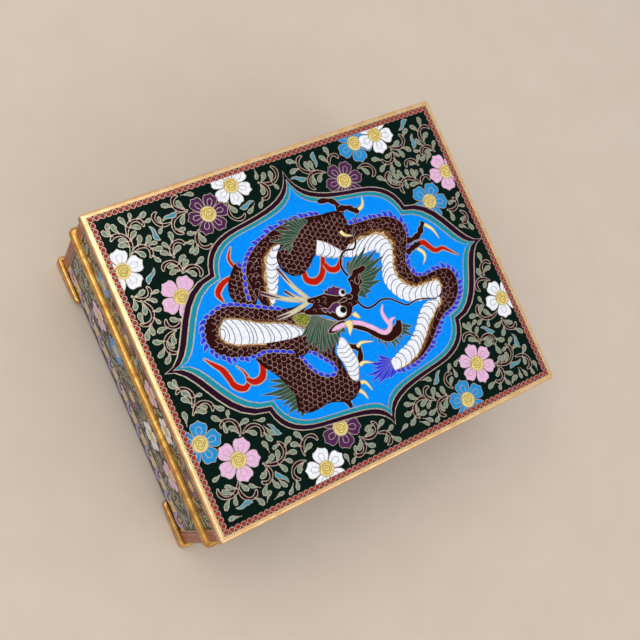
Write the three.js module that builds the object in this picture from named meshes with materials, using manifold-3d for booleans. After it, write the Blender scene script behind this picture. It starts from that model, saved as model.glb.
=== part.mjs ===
// A cloisonne enamel box: a copper base and a lift-off lid, both hollow, with
// gilt rims and four gilt bracket feet. Millimetres, +Z up, front towards -Y.
// The origin is on the table, under the middle of the box.

import * as THREE from 'three';
import { mergeVertices } from 'three/addons/utils/BufferGeometryUtils.js';
import Module from 'manifold-3d';

const wasm = await Module();
wasm.setup();

// Driving sizes of the whole box.
const LENGTH = 170;
const WIDTH = 140;
const HEIGHT = 76;
const HALF_LENGTH = LENGTH / 2;
const HALF_WIDTH = WIDTH / 2;

// Sheet thickness, the gap kept between pieces, and the plan corners.
const SHEET = 1.7;
const GAP = 0.3;
const CORNER_RADIUS = 1.2;
const CORNER_STEPS = 4;
const LEAST_RADIUS = 0.25;

// Heights above the table, from the bottom up.
const BASE_UNDERSIDE = 5.7;
const BASE_STRIP_LOW = 50.3;
const BASE_STRIP_HIGH = 54;
const LIP_TOP = 60.4;
const LID_STRIP_LOW = 71.4;

// The gilt strip round the lid's top edge.
const LID_STRIP_WIDTH = 2.3;
const LID_STRIP_ROUNDING = 1.4;
const LID_COVE = 0.6;

// The enamelled walls of the lid, and the room it leaves round the lip.
const LID_WALL_INSET = 0.8;
const LIP_CLEARANCE = 0.5;
const LIP_THICKNESS = 1.4;
const ENAMEL_BELOW_STRIP = 0.1;
const LOWER_EDGE_CHAMFER = 0.5;

// The half-round gilt strip at the mouth of the base.
const BASE_STRIP_PROJECTION = 1.7;
const BASE_EDGE_ROUNDING = 0.8;

// The bracket feet.
const FOOT_PROJECTION = 2;
const FOOT_ARM = 23;
const FOOT_ARM_WIDTH = 4.6;
const FOOT_HEIGHT = 7.6;
const FOOT_ROUNDING = 0.9;
const FOOT_CORNER_RADIUS = 0.8;
const FOOT_PAD = 10;
const FOOT_RISE = 3.6;
const FOOT_CURVE_STEPS = 10;

const GILT = { color: 0xe2bd62, roughness: 0.32, metalness: 0.95 };
const GREEN_ENAMEL = { color: 0x0c3427, roughness: 0.22, metalness: 0.05 };

/** Points on the arc from one angle to another, as [out, up] pairs. */
function arc(centreOut, centreUp, radius, fromDegrees, toDegrees, steps) {
  return Array.from({ length: steps + 1 }, (_, i) => {
    const degrees = fromDegrees + ((toDegrees - fromDegrees) * i) / steps;
    const angle = THREE.MathUtils.degToRad(degrees);
    return [centreOut + radius * Math.cos(angle), centreUp + radius * Math.sin(angle)];
  });
}

/** A rounded rectangle at one height, as a ring of points. It lies `out` beyond the box's plan size. */
function planLoop([out, up]) {
  const radius = Math.max(CORNER_RADIUS + out, LEAST_RADIUS);
  const x = HALF_LENGTH + out - radius;
  const y = HALF_WIDTH + out - radius;
  const corners = [[x, y, 0], [-x, y, 90], [-x, -y, 180], [x, -y, 270]];
  return corners.flatMap(([cx, cy, start]) =>
    arc(cx, cy, radius, start, start + 90, CORNER_STEPS).map(([px, py]) => [px, py, up]));
}

/** The geometry of points and triangles. */
function meshOf(points, triangles) {
  const geometry = new THREE.BufferGeometry();
  geometry.setAttribute('position', new THREE.Float32BufferAttribute(points.flat(), 3));
  geometry.setIndex(triangles.flat());
  geometry.computeVertexNormals();
  return geometry;
}

/** Joins each ring of points to the next with a band of triangles. */
function bands(ringCount, size, closed) {
  const triangles = [];
  const bandCount = closed ? ringCount : ringCount - 1;
  for (let ring = 0; ring < bandCount; ring += 1) {
    const next = (ring + 1) % ringCount;
    for (let i = 0; i < size; i += 1) {
      const j = (i + 1) % size;
      const [a, b] = [ring * size + i, ring * size + j];
      const [c, d] = [next * size + j, next * size + i];
      triangles.push([a, b, c], [a, c, d]);
    }
  }
  return triangles;
}

/** A frame whose section, an anticlockwise [out, up] outline, runs all round the box. */
function frameOf(section) {
  const rings = section.map(planLoop);
  return meshOf(rings.flat(), bands(rings.length, rings[0].length, true));
}

/** A tray whose section runs from the middle of its outside face to the middle of its inside face. */
function trayOf(section, opensDown) {
  const rings = section.map(planLoop);
  const size = rings[0].length;
  const triangles = bands(rings.length, size, false);
  const last = (rings.length - 1) * size;
  for (let i = 1; i < size - 1; i += 1) {
    triangles.push([0, i + 1, i]);
    triangles.push([last, last + i, last + i + 1]);
  }
  const facing = opensDown ? triangles.map(([a, b, c]) => [a, c, b]) : triangles;
  return meshOf(rings.flat(), facing);
}

/** The lid: a top sheet and four walls, stepped in at the top to seat the gilt strip. */
function lidShell() {
  const strip = -LID_STRIP_WIDTH - GAP;
  const wall = -LID_WALL_INSET;
  const top = HEIGHT - ENAMEL_BELOW_STRIP;
  const seat = LID_STRIP_LOW - GAP;
  const edge = BASE_STRIP_HIGH + GAP;
  return trayOf([
    [strip, top],
    [strip, seat],
    [wall, seat],
    [wall, edge + LOWER_EDGE_CHAMFER],
    [wall - LOWER_EDGE_CHAMFER, edge],
    [wall - SHEET, edge],
    [wall - SHEET, seat - SHEET],
    [strip - SHEET, seat - SHEET],
    [strip - SHEET, top - SHEET],
  ], true);
}

/** The gilt strip round the lid's top edge, flat on top and rounded outside. */
function lidRim() {
  const rounded = arc(-LID_STRIP_ROUNDING, HEIGHT - LID_STRIP_ROUNDING, LID_STRIP_ROUNDING, 0, 90, 5);
  const cove = arc(0, LID_STRIP_LOW, LID_COVE, 180, 90, 4);
  return frameOf([
    [-LID_STRIP_WIDTH, LID_STRIP_LOW],
    ...cove,
    ...rounded,
    [-LID_STRIP_WIDTH, HEIGHT],
  ]);
}

/** The base: a floor and four straight walls, open at the top. */
function baseShell() {
  const low = BASE_UNDERSIDE;
  const round = BASE_EDGE_ROUNDING;
  const top = BASE_STRIP_LOW - GAP;
  return trayOf([
    ...arc(-round, low + round, round, -90, 0, 3),
    [0, top],
    [-SHEET, top],
    [-SHEET, low + SHEET],
  ], false);
}

/** The gilt strip at the mouth of the base: half-round outside, with a standing lip that the lid fits over. */
function baseRim() {
  const half = (BASE_STRIP_HIGH - BASE_STRIP_LOW) / 2;
  const middle = BASE_STRIP_LOW + half;
  const bulge = arc(0, middle, half, -90, 90, 8)
    .map(([out, up]) => [(out * BASE_STRIP_PROJECTION) / half, up]);
  const lipOut = -LID_WALL_INSET - SHEET - LIP_CLEARANCE;
  const lipIn = lipOut - LIP_THICKNESS;
  const lipRound = LIP_THICKNESS / 2;
  return frameOf([
    [lipIn, BASE_STRIP_LOW],
    ...bulge,
    [lipOut, BASE_STRIP_HIGH],
    ...arc(lipOut - lipRound, LIP_TOP - lipRound, lipRound, 0, 180, 4),
  ]);
}

/** A closed geometry as a solid that can be joined and cut. */
function solidOf(geometry) {
  const bare = geometry.clone();
  bare.deleteAttribute('normal');
  bare.deleteAttribute('uv');
  const merged = mergeVertices(bare);
  return new wasm.Manifold(new wasm.Mesh({
    numProp: 3,
    vertProperties: new Float32Array(merged.attributes.position.array),
    triVerts: new Uint32Array(merged.index.array),
  }));
}

/** The geometry of a solid. */
function geometryOf(solid) {
  const { vertProperties, triVerts } = solid.getMesh();
  const geometry = new THREE.BufferGeometry();
  geometry.setAttribute('position', new THREE.BufferAttribute(vertProperties, 3));
  geometry.setIndex(new THREE.BufferAttribute(triVerts, 1));
  geometry.computeVertexNormals();
  return geometry;
}

/** The foot's plan, an L with rounded arm ends, with its outer corner at the origin. */
function footPlan() {
  const inner = FOOT_ARM_WIDTH - 2 * FOOT_ROUNDING;
  const end = FOOT_ARM - 2 * FOOT_ROUNDING;
  const round = inner / 2;
  const corner = FOOT_CORNER_RADIUS;
  const plan = new THREE.Shape();
  plan.moveTo(0, -corner);
  plan.lineTo(0, round - end);
  plan.absarc(-round, round - end, round, 0, -Math.PI, true);
  plan.lineTo(-inner, -inner);
  plan.lineTo(round - end, -inner);
  plan.absarc(round - end, -round, round, -Math.PI / 2, -Math.PI * 1.5, true);
  plan.lineTo(-corner, 0);
  plan.absarc(-corner, -corner, corner, Math.PI / 2, 0, true);
  return plan;
}

/** What is cut from under an arm, so that its lower edge sweeps up from the pad to the arm's end. */
function archUnderArm() {
  const reach = FOOT_ARM - FOOT_PAD;
  const side = new THREE.Shape();
  side.moveTo(-FOOT_PAD, -1);
  for (let i = 0; i <= FOOT_CURVE_STEPS; i += 1) {
    const along = i / FOOT_CURVE_STEPS;
    const rise = (FOOT_RISE * (1 - Math.cos(Math.PI * along))) / 2;
    side.lineTo(-FOOT_PAD - reach * along, rise);
  }
  side.lineTo(-FOOT_ARM - 1, FOOT_RISE);
  side.lineTo(-FOOT_ARM - 1, -1);
  const geometry = new THREE.ExtrudeGeometry(side, { depth: 2 * FOOT_ARM_WIDTH, bevelEnabled: false });
  geometry.rotateX(Math.PI / 2);
  geometry.translate(0, FOOT_ARM_WIDTH / 2, 0);
  return geometry;
}

/** The back right foot, worked out at the origin and then moved to its corner. */
function backRightFoot() {
  const body = new THREE.ExtrudeGeometry(footPlan(), {
    depth: FOOT_HEIGHT - 2 * FOOT_ROUNDING,
    bevelThickness: FOOT_ROUNDING,
    bevelSize: FOOT_ROUNDING,
    bevelSegments: 3,
    curveSegments: 8,
  });
  body.translate(-FOOT_ROUNDING, -FOOT_ROUNDING, FOOT_ROUNDING);
  const arch = archUnderArm();
  const otherArch = arch.clone().applyMatrix4(new THREE.Matrix4().set(
    0, 1, 0, 0,
    1, 0, 0, 0,
    0, 0, 1, 0,
    0, 0, 0, 1,
  ));
  flip(otherArch);
  const corner = FOOT_PROJECTION - GAP;
  const wall = new THREE.BoxGeometry(LENGTH, WIDTH, HEIGHT);
  wall.translate(-corner - HALF_LENGTH, -corner - HALF_WIDTH, BASE_UNDERSIDE - GAP + HEIGHT / 2);
  const foot = solidOf(body)
    .subtract(solidOf(arch))
    .subtract(solidOf(otherArch))
    .subtract(solidOf(wall));
  const geometry = geometryOf(foot);
  geometry.translate(HALF_LENGTH + FOOT_PROJECTION, HALF_WIDTH + FOOT_PROJECTION, 0);
  return geometry;
}

/** Turns every triangle of an indexed geometry over, as a mirror image needs. */
function flip(geometry) {
  if (!geometry.index) {
    geometry.setIndex(Array.from({ length: geometry.attributes.position.count }, (_, i) => i));
  }
  const index = geometry.index.array;
  for (let i = 0; i < index.length; i += 3) {
    [index[i], index[i + 1]] = [index[i + 1], index[i]];
  }
  geometry.computeVertexNormals();
}

/** A foot's geometry, mirrored into the corner that the two signs name. */
function footAt(signX, signY) {
  const geometry = backRightFoot();
  geometry.scale(signX, signY, 1);
  if (signX * signY < 0) flip(geometry);
  return geometry;
}

const box = new THREE.Group();

/** Adds one named piece to the box. */
function addPiece(name, geometry, look) {
  const piece = new THREE.Mesh(geometry, new THREE.MeshStandardMaterial(look));
  piece.name = name;
  box.add(piece);
}

addPiece('lid_shell', lidShell(), GREEN_ENAMEL);
addPiece('lid_rim', lidRim(), GILT);
addPiece('base_shell', baseShell(), GREEN_ENAMEL);
addPiece('base_rim', baseRim(), GILT);
for (const [side, signX] of [['left', -1], ['right', 1]]) {
  for (const [end, signY] of [['front', -1], ['back', 1]]) {
    addPiece(`foot_${end}_${side}`, footAt(signX, signY), GILT);
  }
}

export default box;
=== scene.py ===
import math
import random

import bmesh
import bpy
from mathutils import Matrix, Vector
from mathutils.geometry import delaunay_2d_cdt


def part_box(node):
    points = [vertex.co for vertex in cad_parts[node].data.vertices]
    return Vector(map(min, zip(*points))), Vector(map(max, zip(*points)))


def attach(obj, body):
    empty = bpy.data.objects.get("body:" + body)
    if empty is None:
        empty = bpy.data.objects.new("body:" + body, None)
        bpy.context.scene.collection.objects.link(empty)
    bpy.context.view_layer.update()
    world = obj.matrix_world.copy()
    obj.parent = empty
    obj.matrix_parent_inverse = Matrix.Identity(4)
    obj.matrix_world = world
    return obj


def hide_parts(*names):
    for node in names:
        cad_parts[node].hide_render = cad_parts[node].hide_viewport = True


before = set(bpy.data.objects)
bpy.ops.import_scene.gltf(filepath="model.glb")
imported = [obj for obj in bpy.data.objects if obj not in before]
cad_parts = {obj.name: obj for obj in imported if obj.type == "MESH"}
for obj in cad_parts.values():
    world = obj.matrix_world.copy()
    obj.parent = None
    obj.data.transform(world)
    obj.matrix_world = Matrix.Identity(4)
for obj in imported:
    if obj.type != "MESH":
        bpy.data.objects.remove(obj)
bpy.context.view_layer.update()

bl_info = {
    "name": "Cloisonne box",
    "version": (1, 0, 0),
    "blender": (4, 5, 0),
    "location": "3D View > Sidebar > Cloisonne",
    "description": "Builds the enamelled lid and base, gilt strips, feet and studio of a cloisonne box",
    "category": "Object",
}

MM = 0.001


class Extent:
    """How far out, how low and how high a part of the frame reaches, in millimetres."""

    def __init__(self, node):
        low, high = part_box(node)
        self.out = round(high[0] / MM, 2)
        self.low = round(low[2] / MM, 2)
        self.high = round(high[2] / MM, 2)


LID = Extent("lid_shell")
LID_RIM = Extent("lid_rim")
BASE = Extent("base_shell")
BASE_RIM = Extent("base_rim")

# Plan sizes are half lengths in millimetres; the half width is always this much less.
LENGTH_OVER_WIDTH = 15.0
# The base's corners in plan; every other ring keeps its distance from them.
CORNER_RADIUS = 1.2
CORNER_STEPS = 6
# Nothing is drawn nearer than this to the edge of a sheet.
MARGIN = 0.2

# Enamel colours, as the eye sees them.
COLOURS = {
    "ground": (2, 24, 18),
    "leaf": (114, 138, 118),
    "teal leaf": (72, 146, 166),
    "maroon": (48, 11, 18),
    "aubergine": (38, 10, 32),
    "turquoise": (25, 140, 160),
    "azure": (0, 140, 250),
    "white": (235, 238, 250),
    "pink": (228, 180, 216),
    "purple": (80, 36, 80),
    "sky": (38, 140, 204),
    "yellow": (226, 204, 124),
    "brick": (154, 52, 47),
    "dull brick": (110, 38, 32),
    "brown": (44, 12, 9),
    "ultramarine": (44, 58, 208),
    "tuft": (48, 82, 66),
    "claw": (250, 225, 150),
    "flame": (188, 24, 4),
    "tongue": (240, 180, 225),
    "ochre": (185, 150, 90),
    "cream": (205, 200, 165),
    "lavender": (150, 140, 190),
    "beige": (205, 180, 140),
    "bronze": (150, 118, 58),
    "black": (12, 8, 10),
}


def linear(level):
    """A display level from 0 to 255 as scene light."""
    c = level / 255
    return c / 12.92 if c <= 0.04045 else ((c + 0.055) / 1.055) ** 2.4


def rgba(levels):
    return (*[linear(c) for c in levels], 1.0)


def scaled(colour, factor):
    return (*[min(1.0, c * factor) for c in colour[:3]], 1.0)


def in_scene(name, data):
    """A new object, put into the scene."""
    item = bpy.data.objects.new(name, data)
    bpy.context.scene.collection.objects.link(item)
    return item


# ---------------------------------------------------------------- materials


def feed(tree, node, inputs):
    """Gives each named input of a node a value, or the socket that it reads."""
    for name, value in inputs.items():
        if isinstance(value, bpy.types.NodeSocket):
            tree.links.new(value, node.inputs[name])
        else:
            node.inputs[name].default_value = value


def add_node(tree, kind, inputs, **settings):
    node = tree.nodes.new(kind)
    for name, value in settings.items():
        setattr(node, name, value)
    feed(tree, node, inputs)
    return node


class Finish:
    """A material under construction; its patterns read the object's own metres."""

    def __init__(self, name):
        self.material = bpy.data.materials.new(name)
        self.material.use_nodes = True
        self.tree = self.material.node_tree
        self.shader = self.tree.nodes["Principled BSDF"]

    def noise(self, scale, detail, rough):
        place = self.tree.nodes.new("ShaderNodeTexCoord").outputs["Object"]
        inputs = {"Vector": place, "Scale": scale, "Detail": detail, "Roughness": rough}
        return add_node(self.tree, "ShaderNodeTexNoise", inputs).outputs["Fac"]

    def ranged(self, source, low, high, to_low, to_high):
        """Maps one range of a value to another."""
        inputs = {"Value": source, "From Min": low, "From Max": high, "To Min": to_low, "To Max": to_high}
        return add_node(self.tree, "ShaderNodeMapRange", inputs).outputs["Result"]

    def blended(self, factor, first, second):
        """Two colours mixed by a factor; each is a plain colour or another mix."""
        inputs = {"Factor": factor, 6: first, 7: second}
        return add_node(self.tree, "ShaderNodeMix", inputs, data_type="RGBA").outputs[2]

    def bumped(self, height, strength, distance):
        inputs = {"Height": height, "Strength": strength, "Distance": distance}
        return add_node(self.tree, "ShaderNodeBump", inputs).outputs["Normal"]

    def made(self, colour, roughness, inputs):
        """The material, with its colour, its roughness and any other inputs of its shader."""
        feed(self.tree, self.shader, {"Base Color": colour, "Roughness": roughness, **inputs})
        return self.material


# Fired enamel: how much it mirrors, how strong and how deep its grain is, and how far its colour clouds.
ENAMEL_MIRROR = 0.05
ENAMEL_GRAIN = (0.12, 0.00003)
CLOUDING = 0.14


def enamel(name, levels):
    """Fired enamel: slightly clouded colour, dark pinholes, and a smooth surface that hardly mirrors."""
    finish = Finish("enamel " + name)
    colour = rgba(levels)
    cloud = finish.ranged(finish.noise(620.0, 4.0, 0.6), 0.3, 0.7, 0.0, 1.0)
    body = finish.blended(cloud, scaled(colour, 1 - CLOUDING), scaled(colour, 1 + CLOUDING))
    grains = finish.noise(5200.0, 2.0, 0.5)
    pinhole = finish.ranged(grains, 0.24, 0.34, 1.0, 0.0)
    pitted = finish.blended(pinhole, body, scaled(colour, 0.35))
    polish = finish.ranged(finish.noise(160.0, 3.0, 0.55), 0.3, 0.7, 0.16, 0.3)
    normal = finish.bumped(grains, *ENAMEL_GRAIN)
    return finish.made(pitted, polish, {"Normal": normal, "Specular IOR Level": ENAMEL_MIRROR})


def fringe_enamel(name, pale, warm, dark):
    """Grains of three colours fired together, as where the white belly shades into the hide."""
    finish = Finish("enamel " + name)
    specks = finish.noise(2600.0, 2.0, 0.6)
    speck = finish.ranged(specks, 0.5, 0.58, 0.0, 1.0)
    clouds = finish.noise(1100.0, 3.0, 0.6)
    ground = finish.blended(finish.ranged(clouds, 0.4, 0.6, 0.0, 1.0), rgba(pale), rgba(warm))
    grained = finish.blended(speck, ground, rgba(dark))
    polish = finish.ranged(clouds, 0.3, 0.7, 0.18, 0.3)
    normal = finish.bumped(specks, *ENAMEL_GRAIN)
    return finish.made(grained, polish, {"Normal": normal, "Specular IOR Level": ENAMEL_MIRROR})


def metal(name, bright, worn, tarnish, rough_low=0.22, rough_high=0.42, spots=260.0):
    """Gilt copper: bright gold, duller where it is rubbed, with brown specks in the pits."""
    finish = Finish(name)
    rubbing = finish.noise(spots, 5.0, 0.62)
    body = finish.blended(finish.ranged(rubbing, 0.42, 0.62, 0.0, 1.0), rgba(bright), rgba(worn))
    pits = finish.noise(2300.0, 3.0, 0.6)
    pitted = finish.blended(finish.ranged(pits, 0.62, 0.7, 0.0, 0.8), body, rgba(tarnish))
    rough = finish.ranged(rubbing, 0.35, 0.7, rough_low, rough_high)
    return finish.made(pitted, rough, {"Normal": finish.bumped(pits, 0.35, 0.00006), "Metallic": 1.0})


# Name; bright, worn and pit colours; then, where they are not the usual ones, the least and most roughness
# and how fine the rubbing is.
METALS = {
    "wire": ("gilt wire", (208, 194, 176), (176, 156, 134), (104, 82, 64), 0.3, 0.45, 900.0),
    "dark wire": ("dark wire", (128, 120, 132), (96, 88, 100), (60, 50, 60), 0.4, 0.55, 900.0),
    "scale wire": ("copper wire", (192, 152, 146), (152, 112, 106), (90, 58, 54), 0.35, 0.5, 900.0),
    "gilt": ("gilt strip", (255, 216, 160), (240, 188, 128), (156, 104, 58)),
    # A darker, browner copy of the gilt for the side of the lid's strip: painted shade and painted
    # reflection.
    "rubbed gilt": ("rubbed gilt", (186, 138, 104), (150, 104, 76), (84, 50, 34)),
    "deep gilt": ("gilt bracket", (212, 164, 90), (178, 128, 62), (98, 60, 28)),
    "copper": ("patinated copper", (96, 52, 34), (60, 36, 28), (30, 22, 18), 0.35, 0.55),
}

# Pale, warm and dark grains.
FRINGES = {
    "pale fringe": ((226, 208, 170), (190, 154, 98), (150, 104, 60)),
    "dark fringe": ((150, 108, 64), (98, 56, 32), (58, 20, 12)),
    "moss": ((176, 170, 70), (120, 124, 44), (70, 84, 36)),
}

MATERIALS = {}


def finish_of(name):
    """The material of that name, made the first time it is asked for."""
    if name not in MATERIALS:
        if name in METALS:
            MATERIALS[name] = metal(*METALS[name])
        elif name in FRINGES:
            MATERIALS[name] = fringe_enamel(name, *FRINGES[name])
        else:
            MATERIALS[name] = enamel(name, COLOURS[name])
    return MATERIALS[name]


# ---------------------------------------------------------------- flat drawing


def smooth(points, steps=6, closed=False):
    """A curve through the points, by the Catmull-Rom rule."""
    count = len(points)
    spans = count if closed else count - 1
    result = []
    for i in range(spans):
        if closed:
            a, b, c, d = (points[(i + k - 1) % count] for k in range(4))
        else:
            a = points[max(i - 1, 0)]
            b = points[i]
            c = points[i + 1]
            d = points[min(i + 2, count - 1)]
        for k in range(steps):
            t = k / steps
            result.append(tuple(
                0.5 * (2 * q + (r - p) * t + (2 * p - 5 * q + 4 * r - s) * t * t
                       + (3 * q - p - 3 * r + s) * t * t * t)
                for p, q, r, s in zip(a, b, c, d)
            ))
    if not closed:
        result.append(tuple(points[-1]))
    return result


def bezier(a, b, c, d, steps):
    """Points along a cubic curve, without its last."""
    curve = []
    for i in range(steps):
        t = i / steps
        u = 1 - t
        curve.append(tuple(
            u * u * u * p + 3 * u * u * t * q + 3 * u * t * t * r + t * t * t * s
            for p, q, r, s in zip(a, b, c, d)
        ))
    return curve


def polar(centre, radius, degrees):
    angle = math.radians(degrees)
    return (centre[0] + radius * math.cos(angle), centre[1] + radius * math.sin(angle))


def normals(points, closed=False):
    """The unit normal to the left of the curve at each of its points."""
    result = []
    count = len(points)
    for i in range(count):
        before = points[i - 1] if closed or i else points[0]
        after = points[(i + 1) % count] if closed or i < count - 1 else points[-1]
        dx = after[0] - before[0]
        dy = after[1] - before[1]
        size = math.hypot(dx, dy) or 1.0
        result.append((-dy / size, dx / size))
    return result


def offset(points, distance, closed=False):
    return [
        (x + nx * distance, y + ny * distance)
        for (x, y), (nx, ny) in zip(points, normals(points, closed))
    ]


def signed_area(points):
    return 0.5 * sum(
        a[0] * b[1] - b[0] * a[1] for a, b in zip(points, points[1:] + points[:1])
    )


def crossed(points):
    """Whether a closed outline runs across itself."""
    spans = list(zip(points, points[1:] + points[:1]))
    for i, (a, b) in enumerate(spans):
        for j in range(i + 2, len(spans)):
            if i == 0 and j == len(spans) - 1:
                continue
            c, d = spans[j]
            if max(a[0], b[0]) < min(c[0], d[0]) or max(c[0], d[0]) < min(a[0], b[0]):
                continue
            first = signed_area([a, b, c]) * signed_area([a, b, d])
            second = signed_area([c, d, a]) * signed_area([c, d, b])
            if first < 0 and second < 0:
                return True
    return False


def trimmed(points, limits):
    """The part of an outline that lies inside a rectangle."""
    for axis in (0, 1):
        for limit, sign in ((limits[2 * axis], 1), (limits[2 * axis + 1], -1)):
            kept = []
            for a, b in zip(points, points[1:] + points[:1]):
                from_a = sign * (a[axis] - limit)
                from_b = sign * (b[axis] - limit)
                if from_a >= 0:
                    kept.append(tuple(a))
                if from_a * from_b < 0:
                    share = from_a / (from_a - from_b)
                    kept.append((a[0] + (b[0] - a[0]) * share, a[1] + (b[1] - a[1]) * share))
            points = kept
            if len(points) < 3:
                return []
    return points


# Twice the area below which a corner counts as flat, and below which a cell is left out; and how near
# two points are one.
FLAT_CORNER = 0.001
SLIVER = 0.0004
SAME_PLACE = 1e-4


class Inlay:
    """A flush sheet of cells and wires: laid back to front, then cut into one flat mesh."""

    def __init__(self, outline, paint):
        self.places = []
        self.cells = []
        self.paints = []
        self.border = len(outline)
        self.limits = None
        self.cell(outline, paint)
        xs, ys = zip(*outline)
        self.limits = (min(xs) + MARGIN, max(xs) - MARGIN, min(ys) + MARGIN, max(ys) - MARGIN)

    def within(self, place):
        low_x, high_x, low_y, high_y = self.limits
        return low_x <= place[0] <= high_x and low_y <= place[1] <= high_y

    def cell(self, points, paint):
        if self.limits and not all(self.within(p) for p in points):
            points = trimmed(points, self.limits)
            if len(points) < 3:
                return
        if crossed(points):
            raise ValueError(f"the outline of a {paint} cell crosses itself near {tuple(points[0])}")
        if signed_area(points) < 0:
            points = points[::-1]
        first = len(self.places)
        self.places.extend(Vector(p[:2]) for p in points)
        self.cells.append(list(range(first, first + len(points))))
        self.paints.append(paint)

    def block(self, low, high, paint):
        """A rectangular cell between two opposite corners."""
        self.cell([low, (high[0], low[1]), high, (low[0], high[1])], paint)

    def strip(self, left, right, paint, closed=False):
        """A band between two matching curves: a row of four-sided cells, or triangles where it pinches."""
        sides = (left, right)
        placed = {}
        spans = len(left) if closed else len(left) - 1
        for i in range(spans):
            j = (i + 1) % len(left)
            around = ((0, i), (1, i), (1, j), (0, j))
            if not all(self.within(sides[side][k]) for side, k in around):
                continue
            for side, k in around:
                if (side, k) not in placed:
                    placed[side, k] = len(self.places)
                    self.places.append(Vector(sides[side][k][:2]))
            ids = [placed[key] for key in around]
            corners = [self.turn(ids[k - 1], ids[k], ids[(k + 1) % 4]) for k in range(4)]
            if min(corners) > FLAT_CORNER or max(corners) < -FLAT_CORNER:
                parts = [ids]
            else:
                parts = [[ids[0], ids[1], ids[2]], [ids[0], ids[2], ids[3]]]
            for part in parts:
                size = self.turn(*part[:3])
                if abs(size) > SLIVER:
                    self.cells.append(part if size > 0 else part[::-1])
                    self.paints.append(paint)

    def turn(self, a, b, c):
        """How far the corner a, b, c bends to the left: twice the area of its triangle."""
        p, q, r = self.places[a], self.places[b], self.places[c]
        return (q.x - p.x) * (r.y - p.y) - (q.y - p.y) * (r.x - p.x)

    def wire(self, points, width, closed=False, paint="wire"):
        self.strip(offset(points, width / 2, closed), offset(points, -width / 2, closed), paint, closed)

    def bordered(self, points, paint, width):
        """A closed cell with a wire round it, half of the wire on each side of the outline."""
        if signed_area(points) < 0:
            points = points[::-1]
        self.cell(offset(points, -width / 2, True), "wire")
        self.cell(offset(points, width / 2, True), paint)

    def cut(self):
        """The flat mesh: points, triangles, the paint of each triangle, and where the border went."""
        drawn = delaunay_2d_cdt(self.places, [], self.cells, 1, SAME_PLACE, True)
        points, _, faces, kept, _, owners = drawn
        border = {}
        for index, sources in enumerate(kept):
            for source in sources:
                if source < self.border:
                    border[source] = index
        paints = [self.paints[max(owner)] if owner else self.paints[0] for owner in owners]
        return points, faces, paints, [border[i] for i in range(self.border)]


# ---------------------------------------------------------------- closed bodies


def plan_ring(half_length):
    """A rounded rectangle in plan, anticlockwise from the +X side."""
    radius = max(CORNER_RADIUS + half_length - BASE.out, 0.25)
    x = half_length - radius
    y = half_length - LENGTH_OVER_WIDTH - radius
    ring = []
    for cx, cy, start in ((x, y, 0), (-x, y, 90), (-x, -y, 180), (x, -y, 270)):
        ring.extend(polar((cx, cy), radius, start + 90 * i / CORNER_STEPS) for i in range(CORNER_STEPS + 1))
    return ring


# Corners nearer than this, in metres, are welded.
WELD = 0.001 * MM
# The gilt strips are shaded soft, but for edges that turn by more than this many degrees.
SHARP_EDGE = 35.0


class Body:
    """A closed body under construction, in millimetres."""

    def __init__(self):
        self.points = []
        self.faces = []
        self.paints = []

    def ring(self, half_length, height):
        first = len(self.points)
        ring = plan_ring(half_length)
        self.points.extend((x, y, height) for x, y in ring)
        return list(range(first, first + len(ring)))

    def face(self, ids, paint):
        self.faces.append(list(ids))
        self.paints.append(paint)

    def band(self, upper, lower, paint, panels=()):
        """Joins two rings; the four straight sides may hold panels instead."""
        count = len(upper)
        side = count // 4
        for i in range(count):
            j = (i + 1) % count
            if panels and i % side == side - 1:
                self.panel([lower[i], lower[j], upper[j], upper[i]], panels[i // side])
            else:
                self.face([upper[i], lower[i], lower[j], upper[j]], paint)

    def panel(self, corners, inlay):
        """Sets an inlay between four points, or on a whole ring when it has as many corners."""
        points, faces, paints, border = inlay.cut()
        if len(corners) == 4:
            origin = Vector(self.points[corners[0]])
            along = (Vector(self.points[corners[1]]) - origin).normalized()
            up = (Vector(self.points[corners[3]]) - origin).normalized()
            low = inlay.places[0]
            placed = [origin + along * (p[0] - low[0]) + up * (p[1] - low[1]) for p in points]
        else:
            height = self.points[corners[0]][2]
            placed = [Vector((p[0], p[1], height)) for p in points]
        place = dict(zip(border, corners))
        for index, point in enumerate(placed):
            if index not in place:
                place[index] = len(self.points)
                self.points.append(tuple(point))
        for ids, paint in zip(faces, paints):
            self.face([place[i] for i in ids], paint)

    def made(self, name):
        """The finished object, its normals outward, with one material for each paint."""
        order = []
        for paint in self.paints:
            if paint not in order:
                order.append(paint)
        mesh = bpy.data.meshes.new(name)
        mesh.from_pydata([tuple(c * MM for c in p) for p in self.points], [], self.faces)
        for paint in order:
            mesh.materials.append(finish_of(paint))
        mesh.polygons.foreach_set("material_index", [order.index(p) for p in self.paints])
        work = bmesh.new()
        work.from_mesh(mesh)
        bmesh.ops.remove_doubles(work, verts=work.verts[:], dist=WELD)
        bmesh.ops.dissolve_degenerate(work, edges=work.edges[:], dist=WELD)
        bmesh.ops.recalc_face_normals(work, faces=work.faces[:])
        work.to_mesh(mesh)
        work.free()
        mesh.update()
        return in_scene(name, mesh)


def sweep(name, section, paint, under=None):
    """A frame with one closed section of (half length, height) all round; under is a finish and its top."""
    body = Body()
    rings = [body.ring(out, up) for out, up in section]
    for k, (ring, following) in enumerate(zip(rings, rings[1:] + rings[:1])):
        top = max(section[k][1], section[(k + 1) % len(section)][1])
        body.band(ring, following, under[0] if under and top < under[1] else paint)
    piece = body.made(name)
    piece.data.shade_smooth()
    piece.data.set_sharp_from_angle(angle=math.radians(SHARP_EDGE))
    return piece


def arc_points(centre, radius, start, end, steps, squash=1.0):
    result = []
    for i in range(steps + 1):
        x, y = polar((0, 0), radius, start + (end - start) * i / steps)
        result.append((centre[0] + x * squash, centre[1] + y))
    return result


# ---------------------------------------------------------------- the design of the top


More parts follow.
